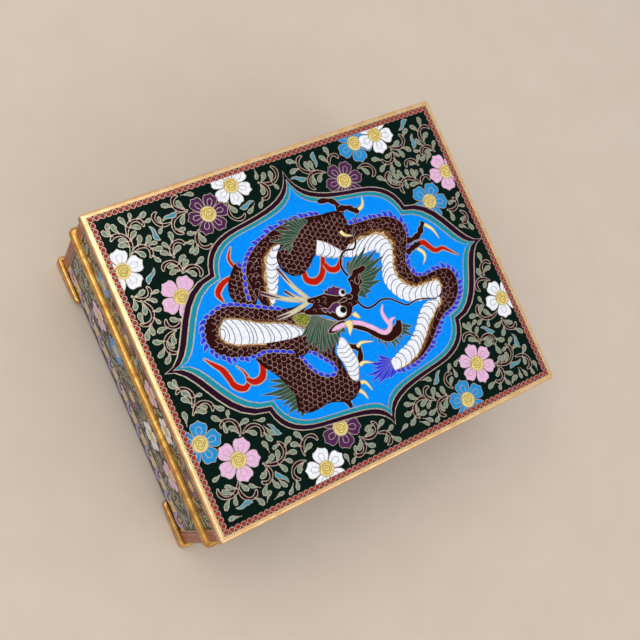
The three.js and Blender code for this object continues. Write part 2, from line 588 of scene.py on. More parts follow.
CARTOUCHE = {
    "left": (-78.5, -0.8),
    "right": (80.0, 1.0),
    "top": (3.0, 60.0),
    "bottom": (3.0, -57.5),
    "notches": ((-45.5, 29.8), (50.6, 27.6), (52.0, -28.6), (-45.8, -31.0)),
}


CUSP_STEPS = 9


def cusped_outline(inset):
    """The cusped panel's outline, drawn in by an inset: four points and four notches."""
    left = Vector(CARTOUCHE["left"]) + Vector((1.9 * inset, 0))
    right = Vector(CARTOUCHE["right"]) - Vector((1.9 * inset, 0))
    top = Vector(CARTOUCHE["top"]) - Vector((0, 2.0 * inset))
    bottom = Vector(CARTOUCHE["bottom"]) + Vector((0, 2.0 * inset))
    outline = []
    quarters = (
        (left, top, -1, 1, 0, False),
        (right, top, 1, 1, 1, True),
        (right, bottom, 1, -1, 2, False),
        (left, bottom, -1, -1, 3, True),
    )
    for side_tip, crown_tip, sx, sy, index, backward in quarters:
        notch = Vector(CARTOUCHE["notches"][index]) - Vector((sx, sy)) * 0.95 * inset
        wide = abs(side_tip.x - notch.x)
        high = abs(notch.y - side_tip.y)
        first = bezier(
            side_tip,
            side_tip - Vector((sx * wide * 0.38, -sy * high * 0.03)),
            notch + Vector((sx * wide * 0.62, -sy * high * 0.06)),
            notch, CUSP_STEPS,
        )
        lobe = Vector((3.0 + (notch.x - 3.0) * 0.64, sy * (abs(notch.y) + 14.4)))
        rise = abs(lobe.y - notch.y)
        second = bezier(
            notch,
            notch + Vector((-sx * 1.4, sy * rise * 0.58)),
            lobe + Vector((sx * 10.0, -sy * rise * 0.1)),
            lobe, CUSP_STEPS - 2,
        )
        third = bezier(
            lobe,
            lobe + Vector((-sx * 18.0, sy * 2.5)),
            Vector((crown_tip.x + sx * 2.4, crown_tip.y - sy * abs(crown_tip.y - lobe.y) * 0.72)),
            crown_tip, CUSP_STEPS,
        )
        quarter = [tuple(p) for p in first + second + third]
        if backward:
            quarter = [tuple(crown_tip)] + quarter[:0:-1]
        outline.extend(quarter)
    return outline


# ---------------------------------------------------------------- small ornaments


def inside(outline, place):
    """Whether a point lies within a closed outline."""
    x, y = place
    within = False
    for (x1, y1), (x2, y2) in zip(outline, outline[1:] + outline[:1]):
        if (y1 > y) != (y2 > y) and x < (x2 - x1) * (y - y1) / (y2 - y1) + x1:
            within = not within
    return within


def clearance(outline, place):
    """The least distance from a point to a closed outline."""
    best = 1e9
    px, py = place
    for (x1, y1), (x2, y2) in zip(outline, outline[1:] + outline[:1]):
        dx = x2 - x1
        dy = y2 - y1
        share = ((px - x1) * dx + (py - y1) * dy) / ((dx * dx + dy * dy) or 1.0)
        share = min(1.0, max(0.0, share))
        best = min(best, math.hypot(px - x1 - share * dx, py - y1 - share * dy))
    return best


def walk(points, pitch, start=0.0):
    """Places at even steps along a curve, each with the curve's heading there in degrees."""
    result = []
    wanted = start
    gone = 0.0
    for (x1, y1), (x2, y2) in zip(points, points[1:]):
        size = math.hypot(x2 - x1, y2 - y1)
        while size and wanted <= gone + size:
            share = (wanted - gone) / size
            heading = math.degrees(math.atan2(y2 - y1, x2 - x1))
            result.append(((x1 + (x2 - x1) * share, y1 + (y2 - y1) * share), heading))
            wanted += pitch
        gone += size
    return result


def curl_path(start, heading, length, turn, steps=12, tightening=1.6):
    """A path that bends more and more, as a scroll's tendril does."""
    x, y = start
    path = [start]
    for i in range(steps):
        angle = math.radians(heading + turn * ((i + 0.5) / steps) ** tightening)
        x += math.cos(angle) * length / steps
        y += math.sin(angle) * length / steps
        path.append((x, y))
    return path


def width_at(widths, share):
    """A width read from evenly spaced values."""
    place = share * (len(widths) - 1)
    low = min(int(place), len(widths) - 2)
    return widths[low] + (widths[low + 1] - widths[low]) * (place - low)


def taper(inlay, path, widths, paint, edge=0.3, only=None):
    """A band of changing width with a wire along each edge; `only` keeps just its fill or just its wire."""
    turned = normals(path)
    last = len(path) - 1
    for extra, layer, filled in ((edge / 2, "wire", False), (-edge / 2, paint, True)):
        if only in (None, filled):
            left = []
            right = []
            for i, ((x, y), (nx, ny)) in enumerate(zip(path, turned)):
                half = max(width_at(widths, i / last) / 2 + extra, 0.04)
                left.append((x + nx * half, y + ny * half))
                right.append((x - nx * half, y - ny * half))
            inlay.strip(left, right, layer)


def blade(inlay, path, widths, paint, edge):
    """A leaf along a path, with a wire all round it."""
    first = Vector(path[0]) - Vector(path[1])
    last = Vector(path[-1]) - Vector(path[-2])
    long = [tuple(Vector(path[0]) + first.normalized() * edge / 2)] + path[1:-1]
    long.append(tuple(Vector(path[-1]) + last.normalized() * edge / 2))
    taper(inlay, long, widths, paint, edge, False)
    short = [tuple(Vector(path[0]) - first.normalized() * edge / 2)] + path[1:-1]
    short.append(tuple(Vector(path[-1]) - last.normalized() * edge / 2))
    taper(inlay, short, widths, paint, edge, True)


def shape(inlay, points, paint, steps=3, edge=0.3):
    """A cell with a smooth closed outline and a wire along it."""
    outline = smooth(points, steps, True)
    inlay.cell(outline, paint)
    inlay.wire(outline, edge, True)
    return outline


def comma_leaf(inlay, root, heading, length, bend):
    path = curl_path(root, heading, length, bend, 6, 1.2)
    fullness = length * 0.38 / 1.9
    blade(inlay, path, [w * fullness for w in (0.3, 0.7, 1.3, 2.0, 2.25, 1.9, 0.9)], "leaf", 0.32)
    middle = curl_path(path[2], heading + bend * 0.4, length * 0.5, bend * 2.4, 3, 1.3)
    inlay.wire(middle, 0.2)


def wavy_leaf(inlay, root, heading, length, bend):
    path = curl_path(root, heading - bend, length * 0.55, bend * 1.7, 5, 1.0)
    path += curl_path(path[-1], heading + bend * 0.7, length * 0.55, -bend * 1.5, 4, 1.0)[1:]
    blade(inlay, path, (0.1, 1.0, 1.9, 2.1, 1.7, 1.4, 1.3, 1.1, 0.7, 0.0), "teal leaf", 0.34)


def tendril_path(start, heading, length, side):
    return curl_path(start, heading, length, side * 185.0)


def tendril(inlay, path):
    """A hooked maroon stem, broadest in its middle and at its hook."""
    blade(inlay, path, (0.4, 0.8, 1.15, 1.4, 1.5, 1.4, 1.2, 1.05, 1.1, 1.4, 1.5, 1.2, 0.5), "maroon", 0.32)


# Half a petal, and the loop in it: share of the petal's half angle, and share of the flower's size.
PETAL = ((0.9, 0.34), (0.93, 0.47), (0.94, 0.59), (0.88, 0.73), (0.77, 0.86), (0.57, 0.95), (0.36, 0.94),
         (0.16, 0.98), (0.0, 1.05))
PETAL_LOOP = ((-0.26, 0.4), (-0.38, 0.56), (-0.3, 0.71), (0.0, 0.78), (0.3, 0.71), (0.38, 0.56), (0.26, 0.4))
TOP_FLOWER = 8.8
LID_FLOWER = 6.2
BASE_FLOWER = 7.4


def flower(inlay, centre, paint, petals, turn, size):
    """Broad petals with pointed tips, a loop in each, and a coiled yellow centre."""
    half = 180.0 / petals
    for k in range(petals):
        middle = turn + 2 * half * k
        side = [(middle + half * a * 0.99, size * r) for a, r in PETAL]
        other = [(middle - half * a * 0.99, size * r) for a, r in PETAL[:-1]]
        inlay.bordered([polar(centre, r, a) for a, r in side + other[::-1]], paint, 0.24)
        inlay.wire([polar(centre, size * r, middle + half * a) for a, r in PETAL_LOOP], 0.28)
    inlay.bordered([polar(centre, size * 0.38, 22.5 * k) for k in range(16)], "yellow", 0.34)
    reaches = [size * (0.04 + 0.24 * k / 20) * (1 + 0.14 * (k % 3)) for k in range(21)]
    inlay.wire([polar(centre, reach, 45.0 * k) for k, reach in enumerate(reaches)], 0.32, paint="bronze")


class Crowd:
    """Remembers where ornaments lie, so that new ones keep clear of them."""

    SQUARE = 3.0

    def __init__(self):
        self.squares = {}

    def add(self, place, radius):
        key = (int(place[0] // self.SQUARE), int(place[1] // self.SQUARE))
        self.squares.setdefault(key, []).append((place[0], place[1], radius))

    def add_line(self, path, radius):
        for place, _ in walk(path, 0.8):
            self.add(place, radius)

    def add_flower(self, centre, reaches, count, radius):
        for reach in reaches:
            for k in range(count):
                self.add(polar(centre, reach, 360 / count * k), radius)

    def free(self, place, radius):
        column = int(place[0] // self.SQUARE)
        row = int(place[1] // self.SQUARE)
        for i in range(column - 1, column + 2):
            for j in range(row - 1, row + 2):
                for x, y, r in self.squares.get((i, j), ()):
                    if math.hypot(x - place[0], y - place[1]) < r + radius:
                        return False
        return True


# How much room a tendril takes on each side of its middle line.
STEM_ROOM = 0.75
# How much room a leaf takes on each side of its middle line, from its root to its tip.
LEAF_ROOM = (0.3, 0.4, 0.5, 0.62, 0.78, 0.85, 0.8, 0.6)


def scroll_leaves(inlay, crowd, allowed, paths, seed, tries, span):
    """Comma and wavy leaves: first along the tendrils, then wherever there is room."""
    chance = random.Random(seed)

    def offer(root, heading, length, bend, wavy, first):
        spine = curl_path(root, heading, length, 0.0 if wavy else bend, 7, 1.2)
        spots = list(zip(spine, LEAF_ROOM))[first:]
        scale = 1.15 if wavy else length / 4.2
        if not all(allowed(place) and crowd.free(place, radius * scale + 0.1) for place, radius in spots):
            return False
        for place, radius in spots:
            crowd.add(place, radius * scale)
        if wavy:
            wavy_leaf(inlay, root, heading, length, bend)
        else:
            comma_leaf(inlay, root, heading, length, bend)
        return True

    teal = []
    for _ in range(tries // 8):
        root = (chance.uniform(*span[0]), chance.uniform(*span[1]))
        apart = all(math.dist(root, other) > 11.0 for other in teal)
        if apart and offer(root, chance.uniform(0, 360), 6.6, chance.choice((-40, 40)), True, 0):
            teal.append(root)
    for path in paths:
        for place, heading in walk(path, 2.5, 1.4):
            for side in (1, -1):
                root = polar(place, 0.75, heading + 90 * side)
                lean = chance.uniform(28, 62)
                for length in (4.4, 3.7, 3.1):
                    if offer(root, heading + side * lean, length, side * chance.uniform(25, 60), False, 2):
                        inlay.wire([place, root], 0.25)
                        break
    for _ in range(tries):
        root = (chance.uniform(*span[0]), chance.uniform(*span[1]))
        heading = chance.uniform(0, 360)
        length = chance.choice((4.4, 3.9, 3.4))
        bend = chance.choice((-1, 1)) * chance.uniform(30, 70)
        if offer(root, heading, length, bend, False, 0):
            stem = curl_path(root, heading + 180 + bend * 0.4, 1.6, -bend * 0.5, 3)
            inlay.wire(stem, 0.25)
            for place in stem[1:]:
                crowd.add(place, 0.2)


# ---------------------------------------------------------------- the dragon


SCALE_PITCH = 2.35
# Rows of scales lie closer than the scales of one row, by this factor.
ROW_SHARE = 0.86
# How wide the shading between belly and hide is, as a share of the body's width; and the least belly
# that counts as one.
FRINGE = 0.17
BELLY_LEAST = 0.05


def scale_mark(inlay, place, heading, chance, radius=1.2):
    """One round scale: most of a circle of fine wire, never quite the same twice."""
    size = radius * chance.uniform(0.84, 1.06)
    turn = heading + chance.uniform(-38, 38)
    spread = chance.uniform(190, 265)
    centre = (place[0] + chance.uniform(-0.14, 0.14), place[1] + chance.uniform(-0.14, 0.14))
    arch = [polar(centre, size, turn - spread / 2 + spread * k / 5) for k in range(6)]
    inlay.wire(arch, 0.2, paint="scale wire")


def hide(inlay, outline, heading):
    """A brown body of any outline, covered in staggered round scales."""
    outline = smooth(outline, 3, True)
    inlay.cell(outline, "brown")
    chance = random.Random(len(outline))
    reach = max(math.hypot(*p) for p in outline) + SCALE_PITCH
    forward = polar((0, 0), 1.0, heading)
    count = int(reach / SCALE_PITCH) + 1
    for i in range(-count, count + 1):
        for j in range(-count, count + 1):
            along = i * SCALE_PITCH * ROW_SHARE
            across = (j + 0.5 * (i % 2)) * SCALE_PITCH
            place = (along * forward[0] - across * forward[1], along * forward[1] + across * forward[0])
            if inside(outline, place) and clearance(outline, place) > 1.0:
                scale_mark(inlay, place, heading + 180, chance)


def coil(inlay, rungs, steps=6):
    """A scaled ribbon of body, its belly on the left; a rung is left x, y, right x, y and belly share."""
    line = smooth(rungs, steps)
    left = [(r[0], r[1]) for r in line]
    right = [(r[2], r[3]) for r in line]

    def across(share):
        return [(r[0] + (r[2] - r[0]) * share(r), r[1] + (r[3] - r[1]) * share(r)) for r in line]

    inlay.strip(left, right, "brown")
    middle = across(lambda r: 0.5)
    chance = random.Random(len(line))
    run = 0.0
    row = 0
    wanted = SCALE_PITCH * 0.5
    for i in range(1, len(line)):
        run += math.dist(middle[i - 1], middle[i])
        if run < wanted:
            continue
        wanted += SCALE_PITCH * ROW_SHARE
        row += 1
        r = line[i]
        wide = math.dist((r[0], r[1]), (r[2], r[3]))
        low = (r[4] + FRINGE if r[4] > BELLY_LEAST else 0.0) * wide + 1.2
        heading = math.degrees(math.atan2(middle[i][1] - middle[i - 1][1], middle[i][0] - middle[i - 1][0]))
        reach = low + (SCALE_PITCH * 0.5 if row % 2 else 0.0)
        while reach < wide - 1.2:
            share = reach / wide
            place = (r[0] + (r[2] - r[0]) * share, r[1] + (r[3] - r[1]) * share)
            scale_mark(inlay, place, heading + 180, chance)
            reach += SCALE_PITCH
    stretches = []
    for i, r in enumerate(line):
        if r[4] > BELLY_LEAST:
            if not stretches or stretches[-1][-1] != i - 1:
                stretches.append([])
            stretches[-1].append(i)
    edge = across(lambda r: max(r[4], 0.0))
    shaded = across(lambda r: min(max(r[4], 0.0) + FRINGE * chance.uniform(0.1, 0.75), 1.0))
    outer = across(lambda r: min(max(r[4], 0.0) + FRINGE * chance.uniform(0.8, 1.2), 1.0))
    for stretch in stretches:
        inner = [left[i] for i in stretch]
        border = [edge[i] for i in stretch]
        inlay.strip([shaded[i] for i in stretch], [outer[i] for i in stretch], "dark fringe")
        inlay.strip(border, [shaded[i] for i in stretch], "pale fringe")
        belly(inlay, inner, border, 2.9)
    inlay.wire(right, 0.22, paint="scale wire")


# How far the curved wire between two belly plates bows, and how far a plate swells past the body's edge.
PLATE_BOW = 1.6
PLATE_SWELL = 0.55


def belly(inlay, inner, border, pitch):
    """White plates between two matching edges: each swells at its ends and is marked off by a curved wire."""
    inlay.strip(inner, border, "white")
    stations = [0]
    run = 0.0
    for i in range(1, len(inner)):
        run += 0.5 * (math.dist(inner[i - 1], inner[i]) + math.dist(border[i - 1], border[i]))
        if run >= pitch * (len(stations) - 0.3):
            stations.append(i)
    for low, high in zip(stations, stations[1:]):
        a, b = Vector(inner[low]), Vector(inner[high])
        c, d = Vector(border[low]), Vector(border[high])
        swell = ((a - c) + (b - d)).normalized() * PLATE_SWELL
        lobe = [a + (b - a) * t + swell * u for t, u in ((0.0, 0.0), (0.25, 0.85), (0.6, 1.0), (0.9, 0.7))]
        inlay.strip(lobe, [a + (b - a) * t for t in (0.0, 0.25, 0.6, 0.9)], "white")
        inlay.wire(lobe, 0.18, paint="dark wire")
    for i in stations[1:]:
        ahead = Vector(inner[i]) + Vector(border[i]) - Vector(inner[i - 1]) - Vector(border[i - 1])
        ahead = ahead.normalized() * PLATE_BOW
        arch = []
        for k in range(7):
            t = k / 6
            arch.append(tuple(Vector(inner[i]).lerp(Vector(border[i]), t) + ahead * (4 * t * (1 - t)) ** 0.7))
        inlay.wire(arch, 0.34, paint="dark wire")


SPINE_PITCH = 2.45


def spines(inlay, edge):
    """Leaf-shaped spines along the right of an edge, leaning along it, no two quite alike."""
    chance = random.Random(len(edge))
    for place, heading in walk(edge, SPINE_PITCH, SPINE_PITCH * 0.4):
        lean = -66.0 * chance.uniform(0.6, 1.25)
        path = curl_path(place, heading + lean, 3.5 * chance.uniform(0.75, 1.1), 48.0, 4, 1.0)
        blade(inlay, path, (1.6, 2.0, 1.6, 0.9, 0.0), "ultramarine", 0.18)


def beads(inlay, edge, pitch=2.9):
    """Oval beads along a line, end to end."""
    for place, heading in walk(edge, pitch, pitch * 0.5):
        start = polar(place, pitch * 0.52, heading + 180)
        path = curl_path(start, heading, pitch * 1.04, 0.0, 4)
        blade(inlay, path, (0.5, 1.5, 1.9, 1.5, 0.5), "ultramarine", 0.2)


def tuft(inlay, root, tips, width, bend=22.0, paint="tuft"):
    """Blades of hair from a root line out to their tips, with a shorter one between each two."""
    aims = []
    for tip, following in zip(tips, tips[1:]):
        aims.append(tip)
        aims.append(tuple(a + (b - a) * 0.5 for a, b in zip(tip, following)))
    aims.append(tips[-1])
    for k, tip in enumerate(aims):
        share = k / (len(aims) - 1)
        start = tuple(a + (b - a) * share for a, b in zip(root[0], root[1]))
        reach = math.dist(start, tip) * (0.82 if k % 2 else 1.0)
        heading = math.degrees(math.atan2(tip[1] - start[1], tip[0] - start[0]))
        lean = bend if share > 0.5 else -bend
        path = curl_path(start, heading - lean * 0.5, reach, lean, 6, 1.0)
        blade(inlay, path, [width * w for w in (1.0, 1.05, 0.95, 0.7, 0.4, 0.0)], paint, 0.11)


def stroke(inlay, points, widths, paint, edge=0.26):
    taper(inlay, smooth(points, 5), widths, paint, edge)


def claw(inlay, *points):
    stroke(inlay, points, (1.5, 1.6, 1.3, 0.8, 0.1), "claw")


def toe(inlay, *points):
    stroke(inlay, points, (2.0, 3.4, 1.8, 3.2, 2.0, 3.4, 1.7, 2.6), "brown")


def draw_dragon(inlay):
    """Back to front: what is drawn later covers what was drawn before."""
    draw_flames(inlay)
    draw_right_coil(inlay)
    draw_upper_body(inlay)
    draw_lower_body(inlay)
    draw_left_loop(inlay)
    draw_head(inlay)


def draw_flames(inlay):
    for points, widths in (
        ([(-34.5, 29), (-35.3, 33), (-32.3, 37.5)], (1.6, 1.6, 1.3, 0.4)),
        ([(-37, 25.5), (-42, 24.2), (-45.6, 21), (-44.6, 16.8)], (1.6, 2.4, 3.0, 2.4, 0.5)),
        ([(-62, -1), (-59.5, -4.5), (-56.8, -8), (-55.6, -12), (-54.6, -16), (-51.3, -18.4), (-48.6, -16.5),
          (-48.7, -12.5), (-51, -8.5)], (0.5, 2.0, 2.9, 2.7, 3.0, 2.3, 1.2, 0.3)),
        ([(-49, -15), (-46.5, -17.6), (-42.6, -17), (-40.6, -13), (-41.5, -9.5)], (1.8, 2.9, 3.3, 2.6, 0.4)),
        ([(-7, 16.5), (-7.2, 13), (-4, 11), (-0.4, 12.2), (2, 15.5), (4, 20)],
         (2.2, 3.0, 3.3, 2.9, 2.5, 2.0)),
        ([(3.2, 16.5), (4.4, 13.6), (7, 12.6), (9.5, 13.8), (12, 17)], (2.0, 2.8, 3.0, 2.6, 1.0)),
        ([(48, 9.5), (51.5, 9.3), (53.3, 6.8), (55.5, 4), (59.5, 3.8), (62, 1.6), (65.8, -2)],
         (2.0, 2.9, 2.7, 2.4, 2.0, 1.5, 0.4)),
    ):
        stroke(inlay, points, widths, "flame", 0.46)


def draw_right_coil(inlay):
    tuft(inlay, ((13, -33), (14, -36.5)), [(8.5, -27.8), (3, -29.5), (0, -34), (0.5, -37.5), (3, -39.5),
        (9, -39.3)], 2.4, 18.0, "ultramarine")
    rungs = [
        (13, -33, 13, -37, 0.98), (19, -30.5, 20, -37.5, 0.88), (25, -28.5, 27, -36.5, 0.72),
        (30.5, -24.5, 34, -33, 0.6), (34.5, -20, 40, -28, 0.56), (40, -16, 46, -23.5, 0.55),
        (45, -15.8, 52, -21.5, 0.3), (47.5, -15.5, 57, -17.5, 0.0), (47.5, -15.3, 59.5, -11, 0.0),
        (47.5, -15, 57.5, -5.5, 0.25), (45.5, -15, 52, -4.2, 0.6), (41, -14, 46, -4.5, 0.6),
        (35, -13, 41.5, -3.5, 0.55), (29.5, -9, 39.8, 0, 0.48), (26.5, -3, 39.5, 4, 0.44),
        (26.3, 2, 41.5, 8, 0.42), (28.5, 7, 44, 12, 0.4), (29.7, 11.5, 45.7, 17, 0.4),
        (27.5, 14.3, 45, 22, 0.42), (23, 14.5, 40, 26, 0.5), (17, 15, 32, 27.5, 0.46),
        (13, 17, 24, 28, 0.3), (9, 20, 17, 29, 0.2),
    ]
    spines(inlay, smooth([(r[2], r[3]) for r in rungs], 4))
    toe(inlay, (43, 13), (47, 12.4), (51, 13.2), (53.3, 15.2), (55.8, 18))
    claw(inlay, (56, 16.6), (58.8, 13.2), (60, 8.2))
    toe(inlay, (42, 7.5), (46, 9), (50, 9.6))
    claw(inlay, (47.6, 7.8), (49.6, 5), (49.2, 2.5), (46.8, 0.2))
    coil(inlay, rungs)
    stroke(inlay, [(12.3, 42.6), (17, 41.6), (20, 39), (20.6, 34)], (1.6, 2.8, 1.9, 3.0, 2.0, 3.6, 3.0),
        "brown")
    toe(inlay, (20, 36.5), (24.5, 35.6), (27.3, 33.2), (30, 34))
    claw(inlay, (28.8, 33.2), (31.6, 34.6), (33, 38.6))


def draw_upper_body(inlay):
    hide(inlay, [(-32, 30.5), (-37, 27), (-41, 21), (-40.5, 15), (-35, 11), (-31, 13), (-30, 24)], 110)
    beads(inlay, smooth([(-33, 30), (-31.4, 27), (-32.6, 22), (-34, 18), (-34.4, 13)]))
    rungs = [
        (6, 32, 11, 37, 0.0), (-3, 32, -1, 38.6, 0.0), (-10, 31, -11, 38, 0.0), (-14, 29.6, -20, 35, 0.2),
        (-14.6, 26.5, -27, 30.5, 0.36), (-17, 22, -31, 24.5, 0.36), (-19.4, 17.5, -31.4, 17.5, 0.38),
        (-21.5, 13.5, -30.4, 12, 0.42), (-24, 9, -29, 7, 0.5),
    ]
    spines(inlay, smooth([(r[2], r[3]) for r in rungs[:6]], 4))
    coil(inlay, rungs, 5)
    hide(inlay, [(20.5, 35), (14, 36.8), (5, 36.4), (-2, 35.4), (-8, 33), (-13, 29.6), (-16, 25.6),
        (-15.4, 20), (-11, 16), (-5, 16.8), (1, 21.5), (7, 22.5), (12, 18), (18, 21), (21, 28)], 60)
    first = smooth([(1.4, 21.6), (4.5, 19.8), (9, 17.4), (12.2, 16.6)], 5)
    second = smooth([(4.6, 27.2), (8, 24.8), (11.6, 21), (13.6, 18.6)], 5)
    belly(inlay, first, second, 2.5)
    inlay.wire(first + second[::-1], 0.3, True)
    claw(inlay, (16.4, 27.2), (17.6, 25), (21, 23.4))
    tuft(inlay, ((-7, 30.5), (3, 35.5)), [(-10.5, 25.6), (-13.5, 28.6), (-16, 33.6), (-11.5, 37.6),
        (-8, 41), (-2.6, 41), (2, 38.6)], 2.0)


def draw_lower_body(inlay):
    tuft(inlay, ((-32, -20), (-32, -36)), [(-33, -16.5), (-41, -19), (-46.5, -23.5), (-42.5, -27),
        (-40, -31), (-39, -35), (-34, -38.6)], 2.0)
    stroke(inlay, [(-3, -19.5), (1, -21.4), (1.6, -24), (-0.8, -28.5)], (3.6, 2.2, 3.2, 1.9, 2.8, 1.8),
        "brown")
    claw(inlay, (1.4, -21.4), (4, -20.4), (9.3, -22))
    claw(inlay, (-1, -29), (1.4, -28.4), (5.2, -30.2))
    claw(inlay, (-4, -35.6), (-1.8, -36.4), (-0.3, -40.6))
    claw(inlay, (-6.4, -38), (-4.6, -40), (-3.8, -43.2))
    stroke(inlay, [(-14, -38.5), (-12.6, -41), (-12.2, -43.4)], (2.6, 2.4, 1.8), "brown")
    hide(inlay, [(-41, -8), (-40, -14), (-36, -20), (-33, -29), (-34, -35.5), (-29, -38.4), (-20, -38),
        (-13, -40.6), (-8, -40), (-3.8, -35.5), (-7.4, -30), (-8, -24), (-9, -19.5), (-6, -14), (-12, -7),
        (-25, -6)], 100)
    hole = shape(inlay, [(-23.5, -14.6), (-19, -15.4), (-15, -20), (-11.6, -25), (-13.6, -28),
        (-18, -26.2), (-21.4, -22)], "azure")
    beads(inlay, hole + hole[:1], 2.8)
    shape(inlay, [(-4, -15), (-8.2, -20), (-7.2, -26), (-7.2, -32), (-4.8, -34.6), (-2.6, -31),
        (-0.9, -27), (-1.3, -22), (-2.2, -17)], "white")
    for k in range(8):
        y = -18.4 - 2.1 * k
        inlay.wire(smooth([(-7.4, y), (-4.6, y - 1.1), (-1.4, y + 0.1)], 3), 0.26, paint="dark wire")


def draw_left_loop(inlay):
    top = [(-13, 3), (-18, 4.4), (-23, 5.6), (-28, 8), (-33, 10.6), (-37.5, 12.8), (-42, 15), (-47, 15.8)]
    end = [(-52, 14.4), (-55.6, 11.6), (-57.6, 7.6), (-57.8, 3), (-56, -1), (-53, -3.8)]
    low = [(-48, -6.2), (-43.5, -7.4), (-38, -8), (-33.5, -9.2), (-29.5, -11), (-25.5, -13), (-22.5, -16),
        (-17, -12)]
    hide(inlay, top + end + low, 160)
    edge = smooth(top[2:] + end + low[:-2], 4)
    spines(inlay, edge[24:56])
    beads(inlay, edge[:25])
    beads(inlay, edge[55:])
    upper = smooth([(-51.6, 4.6), (-50, 8), (-46.5, 9.6), (-40, 6.4), (-35, 3.4), (-30, 1.2), (-24, -1.2),
        (-17, -6)], 4)
    lower = smooth([(-51.6, 4.6), (-50.6, 2), (-46.6, -1), (-40.6, -3), (-35, -5), (-29, -6.4),
        (-23, -7.4), (-16.4, -7.6)], 4)
    chance = random.Random(7)
    for edge, depth, layer in ((upper, 2.2, "dark fringe"), (upper, 1.1, "pale fringe"),
            (lower[:17], -1.6, "dark fringe"), (lower[:17], -0.8, "pale fringe")):
        ragged = [tuple(Vector(p) + (Vector(q) - Vector(p)) * chance.uniform(0.5, 1.1))
            for p, q in zip(edge, offset(edge, depth))]
        inlay.strip(edge, ragged, layer)
    belly(inlay, upper, lower, 2.4)


